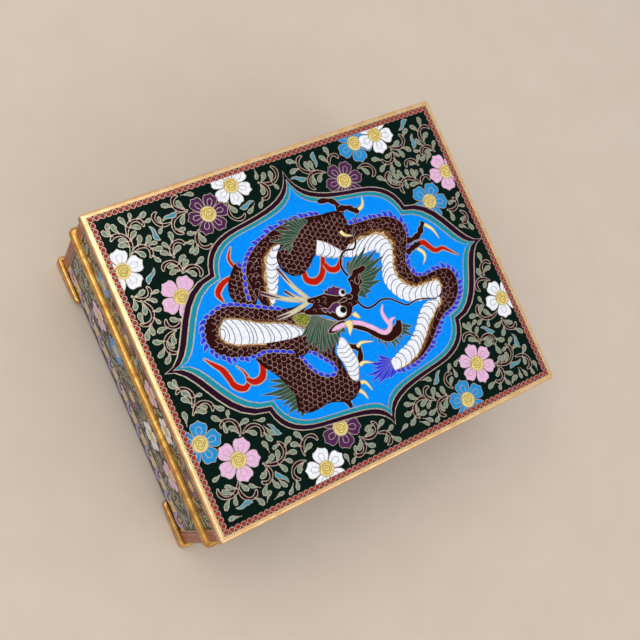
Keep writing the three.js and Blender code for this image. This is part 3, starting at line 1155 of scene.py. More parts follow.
def draw_head(inlay):
    # Feelers behind the head, and the mossy cheek.
    root = (-9.5, 4.2)
    for tip in ((-28.6, 15), (-17.5, 22), (-18.6, 12), (-26.4, 2.6)):
        bow = ((root[0] + tip[0]) / 2 - 0.6, (root[1] + tip[1]) / 2 - 0.8)
        path = smooth([root, bow, tip], 6)
        taper(inlay, path, (1.6, 1.9, 1.8, 1.4), "cream")
        taper(inlay, path[7:], (0.3, 1.0, 1.1), "purple", 0.14)
    shape(inlay, [(-20, 0.5), (-16, 1), (-13, -1), (-12.5, -4.4), (-16, -4.8), (-19, -3)], "moss")
    # Beard, in a fan below the cheek.
    tuft(inlay, ((-10, -2.4), (-2, -8.6)), [(-14.5, -4), (-20.6, -8.4), (-19.6, -11), (-20.2, -13.6),
        (-17.6, -15.4), (-16.6, -18.6), (-13.6, -18.4), (-11, -20.4), (-8.6, -17.6), (-6.4, -18),
        (-4.4, -15.2), (-1, -14)], 3.4, 14.0)
    # Lower jaw, its strands, and the tongue.
    tuft(inlay, ((12, -18.5), (24, -20)), [(8.6, -20.6), (11, -24.4), (13.4, -27.4), (17.4, -30),
        (20.4, -29), (23, -27), (28.5, -27.5), (30, -23)], 1.8, 16.0)
    stroke(inlay, [(3, -12), (8, -15.4), (12, -19.4), (15.4, -22.4), (19.6, -22.8), (23, -20.6),
        (24.4, -18)], (1.8, 2.8, 2.4, 3.4, 3.2, 4.6, 3.8, 4.8, 3.0, 2.4), "brown")
    stroke(inlay, [(-5, -10.6), (0, -10.8), (4, -11.2), (8, -13.2), (12, -16.8), (15, -20), (17.4, -20.6),
        (19.6, -19), (21, -16.6), (23.4, -16.4)], (1.4, 1.9, 1.9, 1.9, 1.9, 2.0, 1.8, 0.5), "tongue")
    stroke(inlay, [(19.8, -18.2), (18.8, -14.6), (18.8, -11.6), (20.6, -9)], (1.8, 1.8, 1.3, 0.4), "tongue")
    shape(inlay, [(-8.2, -10.8), (-4.6, -8.8), (0.4, -8.6), (1.2, -10.4), (-2.6, -12), (-6.4, -12.2)],
        "maroon", 2)
    shape(inlay, [(-6.4, -11), (-3.6, -9.6), (0.8, -9.8), (0.6, -11), (-3, -11.6)], "tongue", 2)
    shape(inlay, [(0.8, -9.8), (3.6, -9.8), (3.4, -12.6), (0.4, -15.8), (0.9, -12.8)], "claw", 2)
    shape(inlay, [(5.4, -8), (7.2, -7.4), (8.4, -10.8), (6.2, -9.4)], "claw", 2)
    # Horned crest with its green hair.
    tuft(inlay, ((13, 9), (13, 0)), [(14, 14.4), (19, 15.6), (24.6, 17), (29, 14), (31, 10.4), (29, 6.4),
        (25, 1), (18.4, -2), (15, -3.8)], 3.0, 14.0)
    # The head itself runs up into the crest; then its brows, nostrils and eyes.
    shape(inlay, [(-10.6, 5.4), (-7, 5), (-3, 4.8), (1.5, 4.4), (5, 3.4), (7, 1), (8.6, 0.9), (10, 2.2),
        (10.2, 4.6), (10.2, 6.8), (12.8, 7.8), (14.2, 9.6), (17.4, 9.6), (19.6, 10), (20.4, 8.2),
        (18.6, 7.2), (16.6, 6.8), (16, 5), (16.2, 3), (14, 2.2), (13.6, 0.2), (11.8, -1), (11.2, -3),
        (9.6, -4.8), (7.2, -5), (5.8, -7.2), (2.6, -8.8), (-1.6, -8.2), (-3.6, -6), (-6, -4),
        (-9.6, -2.4), (-13.8, -0.6), (-14.2, 1.2), (-11, 1.6), (-9.2, 2.6), (-11, 3.8)], "brown", 2, 0.2)
    inlay.wire(smooth([(16.6, 7.1), (15.4, 6.2), (15, 4.2), (14, 3.1), (13, 3.8), (13.2, 5.4),
        (14.2, 6.4)], 3), 0.24)
    chance = random.Random(3)
    for x, y in ((-9, 3.4), (-6.4, 3), (-3.4, 2.8), (-9.6, -0.4), (-7, 0.4), (-4.2, 0.8), (6.4, -3.6),
            (11.6, 5)):
        scale_mark(inlay, (x, y), 20, chance, 0.8)
    shape(inlay, [(-2.4, 4.8), (-1.6, 6.2), (-0.6, 5.6), (0.4, 6.7), (1.4, 5.9), (2.6, 6.6), (3.4, 5.6),
        (5.2, 4.6), (4, 1.6), (1, 2.6)], "purple", 2)
    shape(inlay, [(-6.6, -0.8), (-5, -0.9), (-3.8, -1.8), (-2, -1.1), (-0.6, -0.4), (1, -0.6),
        (2.4, -1.7), (0, -3.4), (-1.4, -4.6), (-2.6, -3.4), (-3.8, -4), (-4.2, -2.6), (-5.6, -2.8)],
        "purple", 2)
    inlay.wire(smooth([(1.6, -0.5), (3.4, -1.5), (5.4, -1.6), (6.3, -0.6), (5, 0), (3.4, -0.3)], 3, True),
        0.24)
    inlay.wire(smooth([(6.8, -1.2), (8.2, -1.6), (9.1, -0.8), (8.5, 0.3)], 3), 0.24)
    for white, size, pupil, dark in (
        ((5.3, 2.3), 1.6, (5.7, 2.4), 1.05), ((1.3, -4.9), 2.5, (2.5, -4.6), 1.5),
    ):
        inlay.bordered([polar(white, size, 30 * k) for k in range(12)], "white", 0.3)
        inlay.bordered([polar(pupil, dark, 36 * k) for k in range(10)], "black", 0.26)
    # Whiskers.
    for points in (
        [(10, -3), (11.4, -6.4), (14, -8.2), (17.5, -7.8), (21, -7), (25, -8.2), (28.2, -11), (31.4, -13.4),
         (36, -13), (41, -14), (46, -16)],
        [(11, 8), (10, 11), (10.2, 14), (12, 17), (15, 18.6), (19, 18), (21.2, 21), (22, 25), (25, 29.5),
         (28, 31.5)],
    ):
        stroke(inlay, points, (1.0, 0.9, 0.8, 0.5), "black", 0.12)


# ---------------------------------------------------------------- the flower scroll of the top


# Centre, colour, petals and turn of each flower.
TOP_FLOWERS = (
    ((-21.3, 61.5), "white", 6, 90), ((-35.5, 53.3), "purple", 6, 60), ((-77.7, 43.0), "white", 5, 10),
    ((-60.0, 25.2), "pink", 5, 54), ((-77.0, -31.3), "sky", 5, 0), ((-65.5, -43.2), "pink", 5, 126),
    ((-33.3, -61.5), "white", 5, 90), ((-20.5, -49.0), "purple", 5, -90), ((40.5, 61.6), "sky", 5, -90),
    ((51.7, 62.3), "white", 5, -90), ((28.3, 47.4), "purple", 6, 60), ((78.0, 35.7), "pink", 5, 110),
    ((63.5, 25.5), "sky", 5, 126), ((77.0, -27.5), "white", 5, 110), ((51.0, -49.3), "pink", 6, 90),
    ((39.3, -61.8), "sky", 5, 90),
)

# Where each tendril springs, its first heading and its length; a minus length curls clockwise.
TOP_TENDRILS = (
    (-72.5, 47.5, 54, 16), (-70.2, 55.5, 78, -13), (-71.5, 48.5, 33, -12.5), (-55.5, 34, 88, 13),
    (-55.5, 34, 34, -12), (-56.3, 41, 96, -12), (-43, 57.5, 169, -12), (-43.5, 57, 172, 15.5),
    (-51.5, 55, 190, -12), (-42, 48.5, 224, 13), (-78.5, 32.5, -55, 12), (-76, 29.5, -48, -15.5),
    (-62.5, 17.5, 234, -12), (-67.5, 13.5, 184, 14.5), (-74, -17, 52, 13.5), (-75, -20, 55, -13.5),
    (-61, -35, 68, 14), (-59.5, -34.5, 34, -13), (-57, -48.5, -36, 17.5), (-56.5, -49.5, -60, -11),
    (-68.5, -50, 246, -15.5), (-70, -53, 264, 12), (-40, -55, 162, 13), (-39.5, -53, 91, -14),
    (-14.5, -55.5, -67, -12.5), (-13.5, -56.5, -33, 13), (-6, -57.8, -7, -10.5), (25, -56, 134, 18.5),
    (24.5, -55.5, 156, -10), (32, -57, 165, 14.5), (35, -54.5, 135, -10.5), (56.5, -42, 85, 13),
    (57.5, -41, 32, -11.5), (59, -52.5, -36, 18), (60, -54, -59, -11.5), (70.5, -54, 0, -13),
    (72.5, -35.5, 257, 12), (72, -32, 208, -16.5), (75, -18, 136, 12.5), (73.5, -15, 101, -11),
    (70, 19, -27, 11), (76, 16.5, -37, -9), (56, 55, -38, 13.5), (56.3, 53.5, 270, -11.5),
    (63.5, 34, 120, 17), (54.5, 36.5, 180, -14), (63.5, 34.5, 67, -8), (66, 42.5, 103, 10),
    (77, 46, 110, 11), (74, 51, 113, -13.5), (37, 50.5, 18, -12.5), (25, 56, 84, -9),
    (18.5, 55.5, 183, -15.5), (21.5, 53.5, 150, 15.5), (-9.5, 59, -36, 16), (-9.5, 59, -35, -12),
    (-25.5, 55.5, 238, 14.5),
)


# Inner edge of the strip that the border's dots stand on; how far out leaves may reach, and are tried;
# along the top and across it.
BORDER = (LID_RIM.out - 4.6, LID_RIM.out - 4.6 - LENGTH_OVER_WIDTH)
LEAF_REACH = (79.6, 64.4)
LEAF_SPAN = ((-79.5, 79.5), (-64.5, 64.5))

# The bands of the cusped panel's edge, from outside in: how far each is drawn in, and its finish.
CUSP_BANDS = ((-0.2, "wire"), (0.16, "aubergine"), (1.7, "wire"), (2.05, "turquoise"), (3.4, "wire"),
              (3.7, "azure"))


def top_panel(outline, seed, tries):
    """The whole top: scroll and flowers on dark green, then the cusped panel and its dragon."""
    inlay = Inlay(outline, "ground")
    cusp = cusped_outline(0.0)
    crowd = Crowd()
    crowd.add_line(cusp + cusp[:1], 0.7)
    for centre, _, _, _ in TOP_FLOWERS:
        crowd.add_flower(centre, (2.0, 5.0, 7.6), 24, 1.4)
    paths = []
    for x, y, heading, length in TOP_TENDRILS:
        path = tendril_path((x, y), heading, abs(length), math.copysign(1.0, length))
        paths.append(path)
        tendril(inlay, path)
        crowd.add_line(path, STEM_ROOM)

    def allowed(place):
        return abs(place[0]) < LEAF_REACH[0] and abs(place[1]) < LEAF_REACH[1] and not inside(cusp, place)

    scroll_leaves(inlay, crowd, allowed, paths, seed, tries, LEAF_SPAN)
    for centre, paint, petals, turn in TOP_FLOWERS:
        flower(inlay, centre, paint, petals, turn, TOP_FLOWER)
    for inset, paint in CUSP_BANDS:
        inlay.cell(cusped_outline(inset), paint)
    draw_dragon(inlay)
    frame_border(inlay)
    return inlay


def frame_border(inlay):
    """Covers what runs past the scroll's edge with the border's own ground."""
    low_x, high_x, low_y, high_y = inlay.limits
    x, y = BORDER
    outer = ((high_x, high_y), (low_x, high_y), (low_x, low_y), (high_x, low_y))
    inner = ((x, y), (-x, y), (-x, -y), (x, -y))
    for i in range(4):
        j = (i + 1) % 4
        inlay.cell([outer[i], outer[j], inner[j], inner[i]], "dull brick")


# ---------------------------------------------------------------- the sides


# Along each wall from its left end, and up it: place and colour of the flowers, for a long and a short wall.
LID_FLOWERS = {
    "long": ((24, 8.5, "pink"), (52, 7.5, "white"), (83, 9, "sky"), (113, 7.5, "purple"),
             (143, 8.5, "white")),
    "short": ((26, 8.5, "sky"), (50, 8, "purple"), (74, 8, "pink"), (90, 6.5, "white"), (114, 8.5, "purple")),
}
BASE_FLOWERS = {
    "long": ((23, 29, "sky"), (47, 24, "white"), (66, 34, "pink"), (92, 25, "purple"), (118, 33, "white"),
             (145, 27, "pink")),
    "short": ((33, 27, "pink"), (50, 31, "sky"), (70, 23, "purple"), (89, 28, "white"), (108, 31, "pink")),
}
# How long each wall is between its rounded corners.
WALLS = {"long": 2 * (BASE.out - CORNER_RADIUS), "short": 2 * (BASE.out - CORNER_RADIUS - LENGTH_OVER_WIDTH)}
# Width of the strip at each end of a wall, and height of the one along the lid's top, that dots stand on.
DOT_COLUMN = 4.6
DOT_ROW = 2.7
# Up a wall of the base: the foot and head of the band of lappets, and where the scroll starts above it.
LAPPET_BAND = (0.9, 13.6)
LAPPET_TOP = 12.9
LAPPET_PITCH = 11.15
BASE_SCROLL = 14.2

# A lappet's layers, back to front: across as a share of the pitch, half width likewise, length and finish.
LAPPET_LAYERS = ((-0.5, 0.36, 8.0, "beige"), (0.5, 0.36, 8.0, "ochre"), (0.0, 0.37, 11.0, "lavender"),
                 (0.0, 0.2, 6.4, "maroon"), (0.0, 0.1, 3.6, "beige"))
# Half of its outline: shares of the half width and of the length.
LAPPET_HALF = ((1.0, 0.0), (1.05, 0.35), (0.95, 0.62), (0.6, 0.84), (0.22, 0.94))


def wall_scroll(inlay, length, low, high, flowers, size, seed, tries):
    """Scroll and flowers along a wall, between two heights and clear of the corner dots."""
    ends = (DOT_COLUMN + 1.0, length - DOT_COLUMN - 1.0)
    crowd = Crowd()
    for u, v, _ in flowers:
        crowd.add_flower((u, v), (size * 0.25, size * 0.6, size * 0.85), 16, size * 0.16)
    paths = []
    for index, (u, v, _) in enumerate(flowers):
        for across, up in ((1, 1), (1, -1), (-1, 1), (-1, -1)):
            start = (u + across * size * 0.8, v + up * size * 0.55)
            reach = 10.5 + 2.5 * ((index + across + up) % 3)
            heading = up * (28 if across > 0 else 152)
            side = -across * up if (index + across) % 2 else across * up
            path = tendril_path(start, heading, reach, side)
            fits = all(low + 0.9 < y < high - 0.9 and ends[0] < x < ends[1] for x, y in path)
            if fits and all(crowd.free(place, 0.5) for place in path[2:]):
                paths.append(path)
                tendril(inlay, path)
                crowd.add_line(path, STEM_ROOM)

    def allowed(place):
        return ends[0] < place[0] < ends[1] and low + 0.6 < place[1] < high - 0.6

    scroll_leaves(inlay, crowd, allowed, paths, seed, tries, (ends, (low, high)))
    for index, (u, v, paint) in enumerate(flowers):
        flower(inlay, (u, v), paint, 5 + index % 2, 90 + 36 * index, size)


def bare_wall(kind, height):
    length = WALLS[kind]
    return length, Inlay([(0, 0), (length, 0), (length, height), (0, height)], "ground")


def lid_wall(kind, height, seed, tries):
    """A wall of the lid: scroll between end columns of dots, under one row of them."""
    length, inlay = bare_wall(kind, height)
    wall_scroll(inlay, length, 0.4, height - 2.6, LID_FLOWERS[kind], LID_FLOWER, seed, tries)
    corner_cells(inlay, length, height)
    inlay.block((MARGIN, height - DOT_ROW), (length - MARGIN, height - MARGIN), "dull brick")
    return inlay


def base_wall(kind, height, seed, tries):
    """A wall of the base: scroll above a border of lavender lappets."""
    length, inlay = bare_wall(kind, height)
    wall_scroll(inlay, length, BASE_SCROLL, height - 0.6, BASE_FLOWERS[kind], BASE_FLOWER, seed, tries)
    low, high = LAPPET_BAND
    for rim, paint in ((0.0, "wire"), (0.3, "maroon")):
        inlay.block((0.4, low + rim), (length - 0.4, high - rim), paint)
    count = round((length - 2 * DOT_COLUMN) / LAPPET_PITCH)
    pitch = (length - 2 * DOT_COLUMN) / count
    for k in range(count):
        lappet(inlay, DOT_COLUMN + pitch * (k + 0.5), pitch)
    corner_cells(inlay, length, height)
    return inlay


def lappet(inlay, middle, pitch):
    """A hanging lappet in lavender, with a beige and an ochre one half hidden at its sides."""
    for across, wide, deep, paint in LAPPET_LAYERS:
        x = middle + across * pitch
        right = [(x + pitch * wide * a, LAPPET_TOP - deep * b) for a, b in LAPPET_HALF]
        left = [(x - pitch * wide * a, LAPPET_TOP - deep * b) for a, b in LAPPET_HALF]
        inlay.bordered(right + [(x, LAPPET_TOP - deep)] + left[::-1], paint, 0.3)


def corner_cells(inlay, length, height):
    """The dark strip at each end of a wall, on which its dots are set, and the wire along it."""
    for start, edge in ((MARGIN, DOT_COLUMN), (length - DOT_COLUMN, length - DOT_COLUMN)):
        inlay.block((start, MARGIN), (start + DOT_COLUMN - MARGIN, height - MARGIN), "dull brick")
        inlay.wire([(edge, MARGIN), (edge, height - MARGIN)], 0.3)


def four_walls(wall, height, seed, tries):
    return [wall(kind, height, seed + side, tries) for side, kind in enumerate(("long", "short") * 2)]


# ---------------------------------------------------------------- pieces


def shown(piece, slot, *nodes):
    """Hangs a finished piece under the box's root, and hides the plain solids that it stands for."""
    if nodes:
        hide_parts(*nodes)
    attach(piece, "root")


# The copper's thickness; how far in and down the rebate round the lid's top goes, and how far in the inner
# face behind it lies; the bevel of the lid's lower edge, and the rounding of the base's.
SHEET = 1.7
REBATE_IN = 1.52
REBATE_DOWN = 4.8
REBATE_WALL = 3.5
LID_BEVEL = 0.5
BASE_ROUND = 0.8


def lid_shell(seed, tries):
    body = Body()
    rings = [body.ring(out, up) for out, up in (
        (LID.out - REBATE_IN, LID.high), (LID.out - REBATE_IN, LID.high - REBATE_DOWN),
        (LID.out, LID.high - REBATE_DOWN), (LID.out, LID.low + LID_BEVEL), (LID.out - LID_BEVEL, LID.low),
        (LID.out - SHEET, LID.low), (LID.out - SHEET, LID.high - REBATE_DOWN - SHEET),
        (LID.out - REBATE_WALL, LID.high - REBATE_DOWN - SHEET), (LID.out - REBATE_WALL, LID.high - SHEET),
    )]
    body.panel(rings[0], top_panel([tuple(body.points[i][:2]) for i in rings[0]], seed, tries))
    walls = four_walls(lid_wall, LID.high - LID.low - (REBATE_DOWN + LID_BEVEL), seed, tries // 3)
    paints = ("copper", "copper", "maroon", "copper", "copper", "turquoise", "turquoise", "turquoise")
    for upper, lower, paint in zip(rings, rings[1:], paints):
        body.band(upper, lower, paint, walls if paint == "maroon" else ())
    body.face(rings[-1], "turquoise")
    return body.made("enamelled_lid")


def base_shell(seed, tries):
    body = Body()
    section = [(BASE.out, BASE.high)]
    section += arc_points((BASE.out - BASE_ROUND, BASE.low + BASE_ROUND), BASE_ROUND, 0, -90, 5)
    rings = [body.ring(out, up) for out, up in section]
    walls = four_walls(base_wall, BASE.high - BASE.low - BASE_ROUND, seed, tries // 2)
    body.band(rings[0], rings[1], "maroon", walls)
    for upper, lower in zip(rings[1:], rings[2:]):
        body.band(upper, lower, "copper")
    body.face(rings[-1], "turquoise")
    inner = [body.ring(BASE.out - SHEET, up) for up in (BASE.high, BASE.low + SHEET)]
    body.band(inner[0], rings[0], "copper")
    body.band(inner[1], inner[0], "turquoise")
    body.face(inner[1], "turquoise")
    return body.made("enamelled_base")


# The lid's strip: its width, the hollow along its lower edge, the rounding of its upper edge, and how far
# below its top the darker, browner gilt of its side starts: painted shade and painted reflection.
STRIP_WIDTH = 2.3
STRIP_COVE = 0.6
STRIP_ROUND = 1.4
STRIP_PAINTED_SHADE = 0.6
# The base's strip: its whole width, the radius of its half-round, and that of the lip's top.
RIM_WIDTH = 6.1
RIM_RADIUS = 1.85
LIP_RADIUS = 0.7


def lid_strip():
    section = [(LID_RIM.out - STRIP_WIDTH, LID_RIM.low)]
    section += arc_points((LID_RIM.out, LID_RIM.low), STRIP_COVE, 180, 90, 4)
    section += arc_points((LID_RIM.out - STRIP_ROUND, LID_RIM.high - STRIP_ROUND), STRIP_ROUND, 0, 90, 10)
    section += [(LID_RIM.out - STRIP_WIDTH, LID_RIM.high)]
    # Below that height the strip's side takes the darker gilt, which is painted shade and painted reflection.
    return sweep("gilt_lid_strip", section, "gilt", ("rubbed gilt", LID_RIM.high - STRIP_PAINTED_SHADE))


def base_strip():
    inner = BASE_RIM.out - RIM_WIDTH
    middle = BASE_RIM.low + RIM_RADIUS
    section = [(inner, BASE_RIM.low), (BASE.out - 0.1, BASE_RIM.low)]
    section += arc_points((BASE.out, middle), RIM_RADIUS, -90, 90, 14, (BASE_RIM.out - BASE.out) / RIM_RADIUS)
    section += [(inner + 2 * LIP_RADIUS, BASE_RIM.low + 2 * RIM_RADIUS)]
    section += arc_points((inner + LIP_RADIUS, BASE_RIM.high - LIP_RADIUS), LIP_RADIUS, 0, 180, 8)
    return sweep("gilt_base_strip", section, "deep gilt")


# ---------------------------------------------------------------- dots


# The middles of the top's dots, out from the middle of the lid; of the two columns at a wall's end, in from
# that end; and of the row on the lid's wall, down from the lid's top and in from the wall's two ends.
TOP_DOTS = LID_RIM.out - 3.55
COLUMN_INSETS = (1.6, 3.7)
ROW_DROP = 6.3
ROW_ENDS = (5.4, 5.0)
# Lowest and highest dot of the columns.
COLUMNS = ((LID, LID.low + 1.6, LID.high - 5.9), (BASE, BASE.low + 1.9, BASE.high - 0.8))


def dot_places(pitch):
    """Where every dot's middle lies, and which way it faces: round the top, and down the corners."""
    places = []

    def row(start, end, facing, last=1):
        count = max(round(math.dist(start, end) / pitch), 1)
        for k in range(count + last):
            places.append((Vector(start).lerp(Vector(end), k / count), facing))

    x, y = TOP_DOTS, TOP_DOTS - LENGTH_OVER_WIDTH
    corners = ((x, y, LID.high), (-x, y, LID.high), (-x, -y, LID.high), (x, -y, LID.high))
    for start, end in zip(corners, corners[1:] + corners[:1]):
        row(start, end, (0, 0, 1), 0)
    for part, low, high in COLUMNS:
        for facing in ((1, 0), (0, 1), (-1, 0), (0, -1)):
            far = part.out - (0.0 if facing[0] else LENGTH_OVER_WIDTH)
            wide = part.out - (LENGTH_OVER_WIDTH if facing[0] else 0.0)

            def at(along, height):
                """A place on this wall, so far along from its middle."""
                return (facing[0] * far + facing[1] * along, facing[1] * far - facing[0] * along, height)

            for end in (-1, 1):
                for inset in COLUMN_INSETS:
                    along = end * (wide - inset)
                    row(at(along, low), at(along, high), (*facing, 0))
            if part is LID:
                height = LID.high - ROW_DROP
                row(at(wide - ROW_ENDS[0], height), at(ROW_ENDS[1] - wide, height), (*facing, 0))
    return places


# The inputs of the dots' tree: name, kind of socket, and value where it has one of its own.
DOT_INPUTS = (
    ("Radius", "Float", 0.0012), ("Ring Width", "Float", 0.00026), ("Depth", "Float", 0.00005),
    ("Wire", "Material", None), ("Enamel", "Material", None),
)
DOT_SIDES = 10


def dot_tree():
    """Sets a round enamel cell in a ring of wire on each point, turned to the way that the point faces."""
    tree = bpy.data.node_groups.new("Round cells", "GeometryNodeTree")
    tree.interface.new_socket("Geometry", in_out="INPUT", socket_type="NodeSocketGeometry")
    tree.interface.new_socket("Geometry", in_out="OUTPUT", socket_type="NodeSocketGeometry")
    keys = {}
    for name, kind, value in DOT_INPUTS:
        socket = tree.interface.new_socket(name, in_out="INPUT", socket_type="NodeSocket" + kind)
        keys[name] = socket.identifier
        if value is not None:
            socket.default_value = value

    def add(kind, inputs, **settings):
        return add_node(tree, kind, inputs, **settings).outputs

    given = add("NodeGroupInput", {})
    radius = given["Radius"]
    inner = add("ShaderNodeMath", {0: radius, 1: given["Ring Width"]}, operation="SUBTRACT")[0]
    joined = tree.nodes.new("GeometryNodeJoinGeometry")
    for size, rise, glazed in ((radius, 0.0, False), (inner, 0.00001, True)):
        disc = add("GeometryNodeMeshCylinder", {
            "Vertices": DOT_SIDES, "Radius": size, "Depth": given["Depth"]})
        lifted = add("GeometryNodeTransform", {"Geometry": disc["Mesh"], "Translation": (0.0, 0.0, rise)})
        marked = add("GeometryNodeStoreNamedAttribute",
                     {"Geometry": lifted["Geometry"], "Name": "glazed", "Value": glazed},
                     data_type="BOOLEAN", domain="FACE")
        tree.links.new(marked["Geometry"], joined.inputs["Geometry"])
    facing = add("GeometryNodeInputNamedAttribute", {"Name": "facing"}, data_type="FLOAT_VECTOR")
    turned = add("FunctionNodeAlignRotationToVector", {"Vector": facing["Attribute"]}, axis="Z")
    placed = add("GeometryNodeInstanceOnPoints", {
        "Points": given["Geometry"], "Instance": joined.outputs["Geometry"], "Rotation": turned["Rotation"]})
    real = add("GeometryNodeRealizeInstances", {"Geometry": placed["Instances"]})
    bare = add("GeometryNodeSetMaterial", {"Geometry": real["Geometry"], "Material": given["Wire"]})
    which = add("GeometryNodeInputNamedAttribute", {"Name": "glazed"}, data_type="BOOLEAN")
    filled = add("GeometryNodeSetMaterial", {
        "Geometry": bare["Geometry"], "Selection": which["Attribute"], "Material": given["Enamel"]})
    add("NodeGroupOutput", {"Geometry": filled["Geometry"]})
    return tree, keys


def border_dots(pitch, radius, ring):
    """All the brick-red dots as one piece."""
    places = dot_places(pitch / MM)
    points = bpy.data.meshes.new("dot middles")
    points.from_pydata([tuple(c * MM for c in place) for place, _ in places], [], [])
    facing = points.attributes.new("facing", "FLOAT_VECTOR", "POINT")
    for index, (_, way) in enumerate(places):
        facing.data[index].vector = way
    holder = in_scene("dot middles", points)
    tree, keys = dot_tree()
    modifier = holder.modifiers.new("Round cells", "NODES")
    modifier.node_group = tree
    modifier[keys["Radius"]] = radius
    modifier[keys["Ring Width"]] = ring
    modifier[keys["Wire"]] = finish_of("wire")
    modifier[keys["Enamel"]] = finish_of("brick")
    graph = bpy.context.evaluated_depsgraph_get()
    mesh = bpy.data.meshes.new_from_object(holder.evaluated_get(graph), depsgraph=graph)
    holder.modifiers.remove(modifier)
    bpy.data.objects.remove(holder)
    mesh.name = "border_dots"
    return in_scene("border_dots", mesh)


# ---------------------------------------------------------------- studio


LAMP_SIZE = 0.9
LAMP_TARGET = (0, 0, 0.04)


def area_light(name, energy, place, colour):
    """A square lamp turned to the box's middle."""
    data = bpy.data.lights.new(name, "AREA")
    data.energy = energy
    data.size = LAMP_SIZE
    data.color = colour
    light = in_scene(name, data)
    light.location = place
    light.rotation_euler = (Vector(LAMP_TARGET) - Vector(place)).to_track_quat("-Z", "Y").to_euler()


def pale_floor(size):
    work = bmesh.new()
    bmesh.ops.create_grid(work, x_segments=8, y_segments=8, size=size)
    mesh = bpy.data.meshes.new("floor")
    work.to_mesh(mesh)
    work.free()
    finish = Finish("pale floor")
    colour = finish.blended(finish.noise(40.0, 4.0, 0.6), rgba((206, 190, 172)), rgba((216, 201, 184)))
    mesh.materials.append(finish.made(colour, 0.85, {}))
    return in_scene("floor", mesh)


def camera_above():
    """Looks down on the lid from its left, turned as one would hold the box to see its top."""
    data = bpy.data.cameras.new("camera")
    data.lens = 53.4
    data.sensor_width = 36
    data.clip_start = 0.01
    camera = in_scene("camera", data)
    camera.location = (-0.16495, -0.02569, 0.44101)
    camera.rotation_euler = [math.radians(angle) for angle in (12.5314, -19.7835, -25.6497)]
    bpy.context.scene.camera = camera


# ---------------------------------------------------------------- add-on


class EnamelProperties(bpy.types.PropertyGroup):
    leaf_seed: bpy.props.IntProperty(
        name="Leaf Seed", description="Picks how the scroll's leaves fall", default=7, min=0)
    leaf_tries: bpy.props.IntProperty(
        name="Leaf Tries", description="How hard the scroll is filled with leaves", default=5200, min=0)


class DotProperties(bpy.types.PropertyGroup):
    pitch: bpy.props.FloatProperty(
        name="Pitch", description="From one dot's middle to the next", default=0.0026, min=0.001,
        subtype="DISTANCE", unit="LENGTH")
    radius: bpy.props.FloatProperty(
        name="Radius", description="Outside of a dot's ring", default=0.0012, min=0.0002,
        subtype="DISTANCE", unit="LENGTH")
    ring: bpy.props.FloatProperty(
        name="Ring Width", description="Width of the wire round a dot", default=0.00026, min=0.0001,
        subtype="DISTANCE", unit="LENGTH")


class StudioProperties(bpy.types.PropertyGroup):
    key: bpy.props.FloatProperty(
        name="Key Light", description="Power of the large light overhead", default=5.2, min=0.0,
        subtype="POWER", unit="POWER")
    fill: bpy.props.FloatProperty(
        name="Fill Light", description="Power of the light opposite", default=1.6, min=0.0,
        subtype="POWER", unit="POWER")
    surround: bpy.props.FloatProperty(
        name="Surround", description="Brightness of the air round the box", default=0.7, min=0.0)
    floor_size: bpy.props.FloatProperty(
        name="Floor", description="Half the length of the floor", default=1.5, min=0.3,
        subtype="DISTANCE", unit="LENGTH")


class CLOISONNE_OT_lid(bpy.types.Operator):
    """Make the enamelled lid, with the dragon panel on its top"""
    bl_idname = "cloisonne.lid"
    bl_label = "Enamelled Lid"

    def execute(self, context):
        sizes = context.scene.cloisonne_enamel
        shown(lid_shell(sizes.leaf_seed, sizes.leaf_tries), "enamel", "lid_shell")
        return {"FINISHED"}


class CLOISONNE_OT_base(bpy.types.Operator):
    """Make the enamelled base, open at the top"""
    bl_idname = "cloisonne.base"
    bl_label = "Enamelled Base"

    def execute(self, context):
        sizes = context.scene.cloisonne_enamel
        shown(base_shell(sizes.leaf_seed + 20, sizes.leaf_tries), "enamel", "base_shell")
        return {"FINISHED"}


class CLOISONNE_OT_dots(bpy.types.Operator):
    """Set the rows of brick-red dots round the top and down the corners"""
    bl_idname = "cloisonne.dots"
    bl_label = "Border Dots"

    def execute(self, context):
        sizes = context.scene.cloisonne_dots
        shown(border_dots(sizes.pitch, sizes.radius, sizes.ring), "enamel")
        return {"FINISHED"}


class CLOISONNE_OT_strips(bpy.types.Operator):
    """Make the gilt strips of the lid and the base"""
    bl_idname = "cloisonne.strips"
    bl_label = "Gilt Strips"

    def execute(self, context):
        shown(lid_strip(), "gilt", "lid_rim")
        shown(base_strip(), "gilt", "base_rim")
        return {"FINISHED"}


class CLOISONNE_OT_feet(bpy.types.Operator):
    """Gild the four bracket feet"""
    bl_idname = "cloisonne.feet"
    bl_label = "Bracket Feet"

    def execute(self, context):
        for name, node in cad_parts.items():
            if name.startswith("foot_"):
                node.data.materials.clear()
                node.data.materials.append(finish_of("deep gilt"))
        return {"FINISHED"}


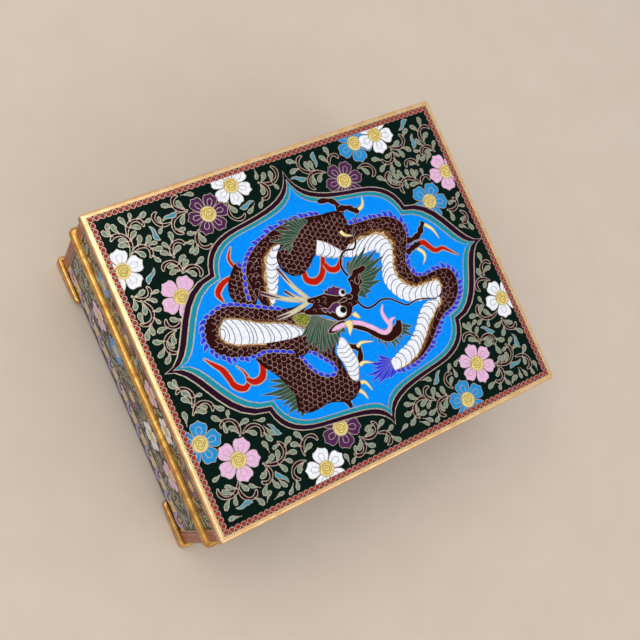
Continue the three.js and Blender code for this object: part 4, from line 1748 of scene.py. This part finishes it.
class CLOISONNE_OT_studio(bpy.types.Operator):
    """Lay the floor, hang the lights and set the camera"""
    bl_idname = "cloisonne.studio"
    bl_label = "Studio"

    def execute(self, context):
        scene = context.scene
        sizes = scene.cloisonne_studio
        scene.view_settings.view_transform = "Standard"
        scene.view_settings.look = "None"
        pale_floor(sizes.floor_size)
        world = bpy.data.worlds.new("studio")
        world.use_nodes = True
        air = world.node_tree.nodes["Background"]
        air.inputs["Color"].default_value = (0.96, 0.97, 1.0, 1.0)
        air.inputs["Strength"].default_value = sizes.surround
        scene.world = world
        area_light("key", sizes.key, (-0.35, 0.3, 1.05), (1.0, 0.98, 0.95))
        area_light("fill", sizes.fill, (0.2, -0.95, 0.7), (1.0, 0.97, 0.93))
        camera_above()
        return {"FINISHED"}


class CLOISONNE_PT_box(bpy.types.Panel):
    """Lists the pieces of the box"""
    bl_label = "Cloisonne Box"
    bl_idname = "CLOISONNE_PT_box"
    bl_space_type = "VIEW_3D"
    bl_region_type = "UI"
    bl_category = "Cloisonne"

    def draw(self, context):
        scene = context.scene
        for operators, sizes in (
            ((CLOISONNE_OT_lid, CLOISONNE_OT_base), scene.cloisonne_enamel),
            ((CLOISONNE_OT_dots,), scene.cloisonne_dots),
            ((CLOISONNE_OT_strips, CLOISONNE_OT_feet), None),
            ((CLOISONNE_OT_studio,), scene.cloisonne_studio),
        ):
            box = self.layout.box()
            if sizes:
                for name in sizes.__annotations__:
                    box.prop(sizes, name)
            for operator in operators:
                box.operator(operator.bl_idname)


CLASSES = (
    EnamelProperties, DotProperties, StudioProperties,
    CLOISONNE_OT_lid, CLOISONNE_OT_base, CLOISONNE_OT_dots, CLOISONNE_OT_strips, CLOISONNE_OT_feet,
    CLOISONNE_OT_studio, CLOISONNE_PT_box,
)


def register():
    for item in CLASSES:
        bpy.utils.register_class(item)
    bpy.types.Scene.cloisonne_enamel = bpy.props.PointerProperty(type=EnamelProperties)
    bpy.types.Scene.cloisonne_dots = bpy.props.PointerProperty(type=DotProperties)
    bpy.types.Scene.cloisonne_studio = bpy.props.PointerProperty(type=StudioProperties)


def unregister():
    del bpy.types.Scene.cloisonne_studio
    del bpy.types.Scene.cloisonne_dots
    del bpy.types.Scene.cloisonne_enamel
    for item in reversed(CLASSES):
        bpy.utils.unregister_class(item)


def main():
    register()
    bpy.ops.cloisonne.lid()
    bpy.ops.cloisonne.base()
    bpy.ops.cloisonne.dots()
    bpy.ops.cloisonne.strips()
    bpy.ops.cloisonne.feet()
    bpy.ops.cloisonne.studio()


if __name__ == "__main__":
    main()
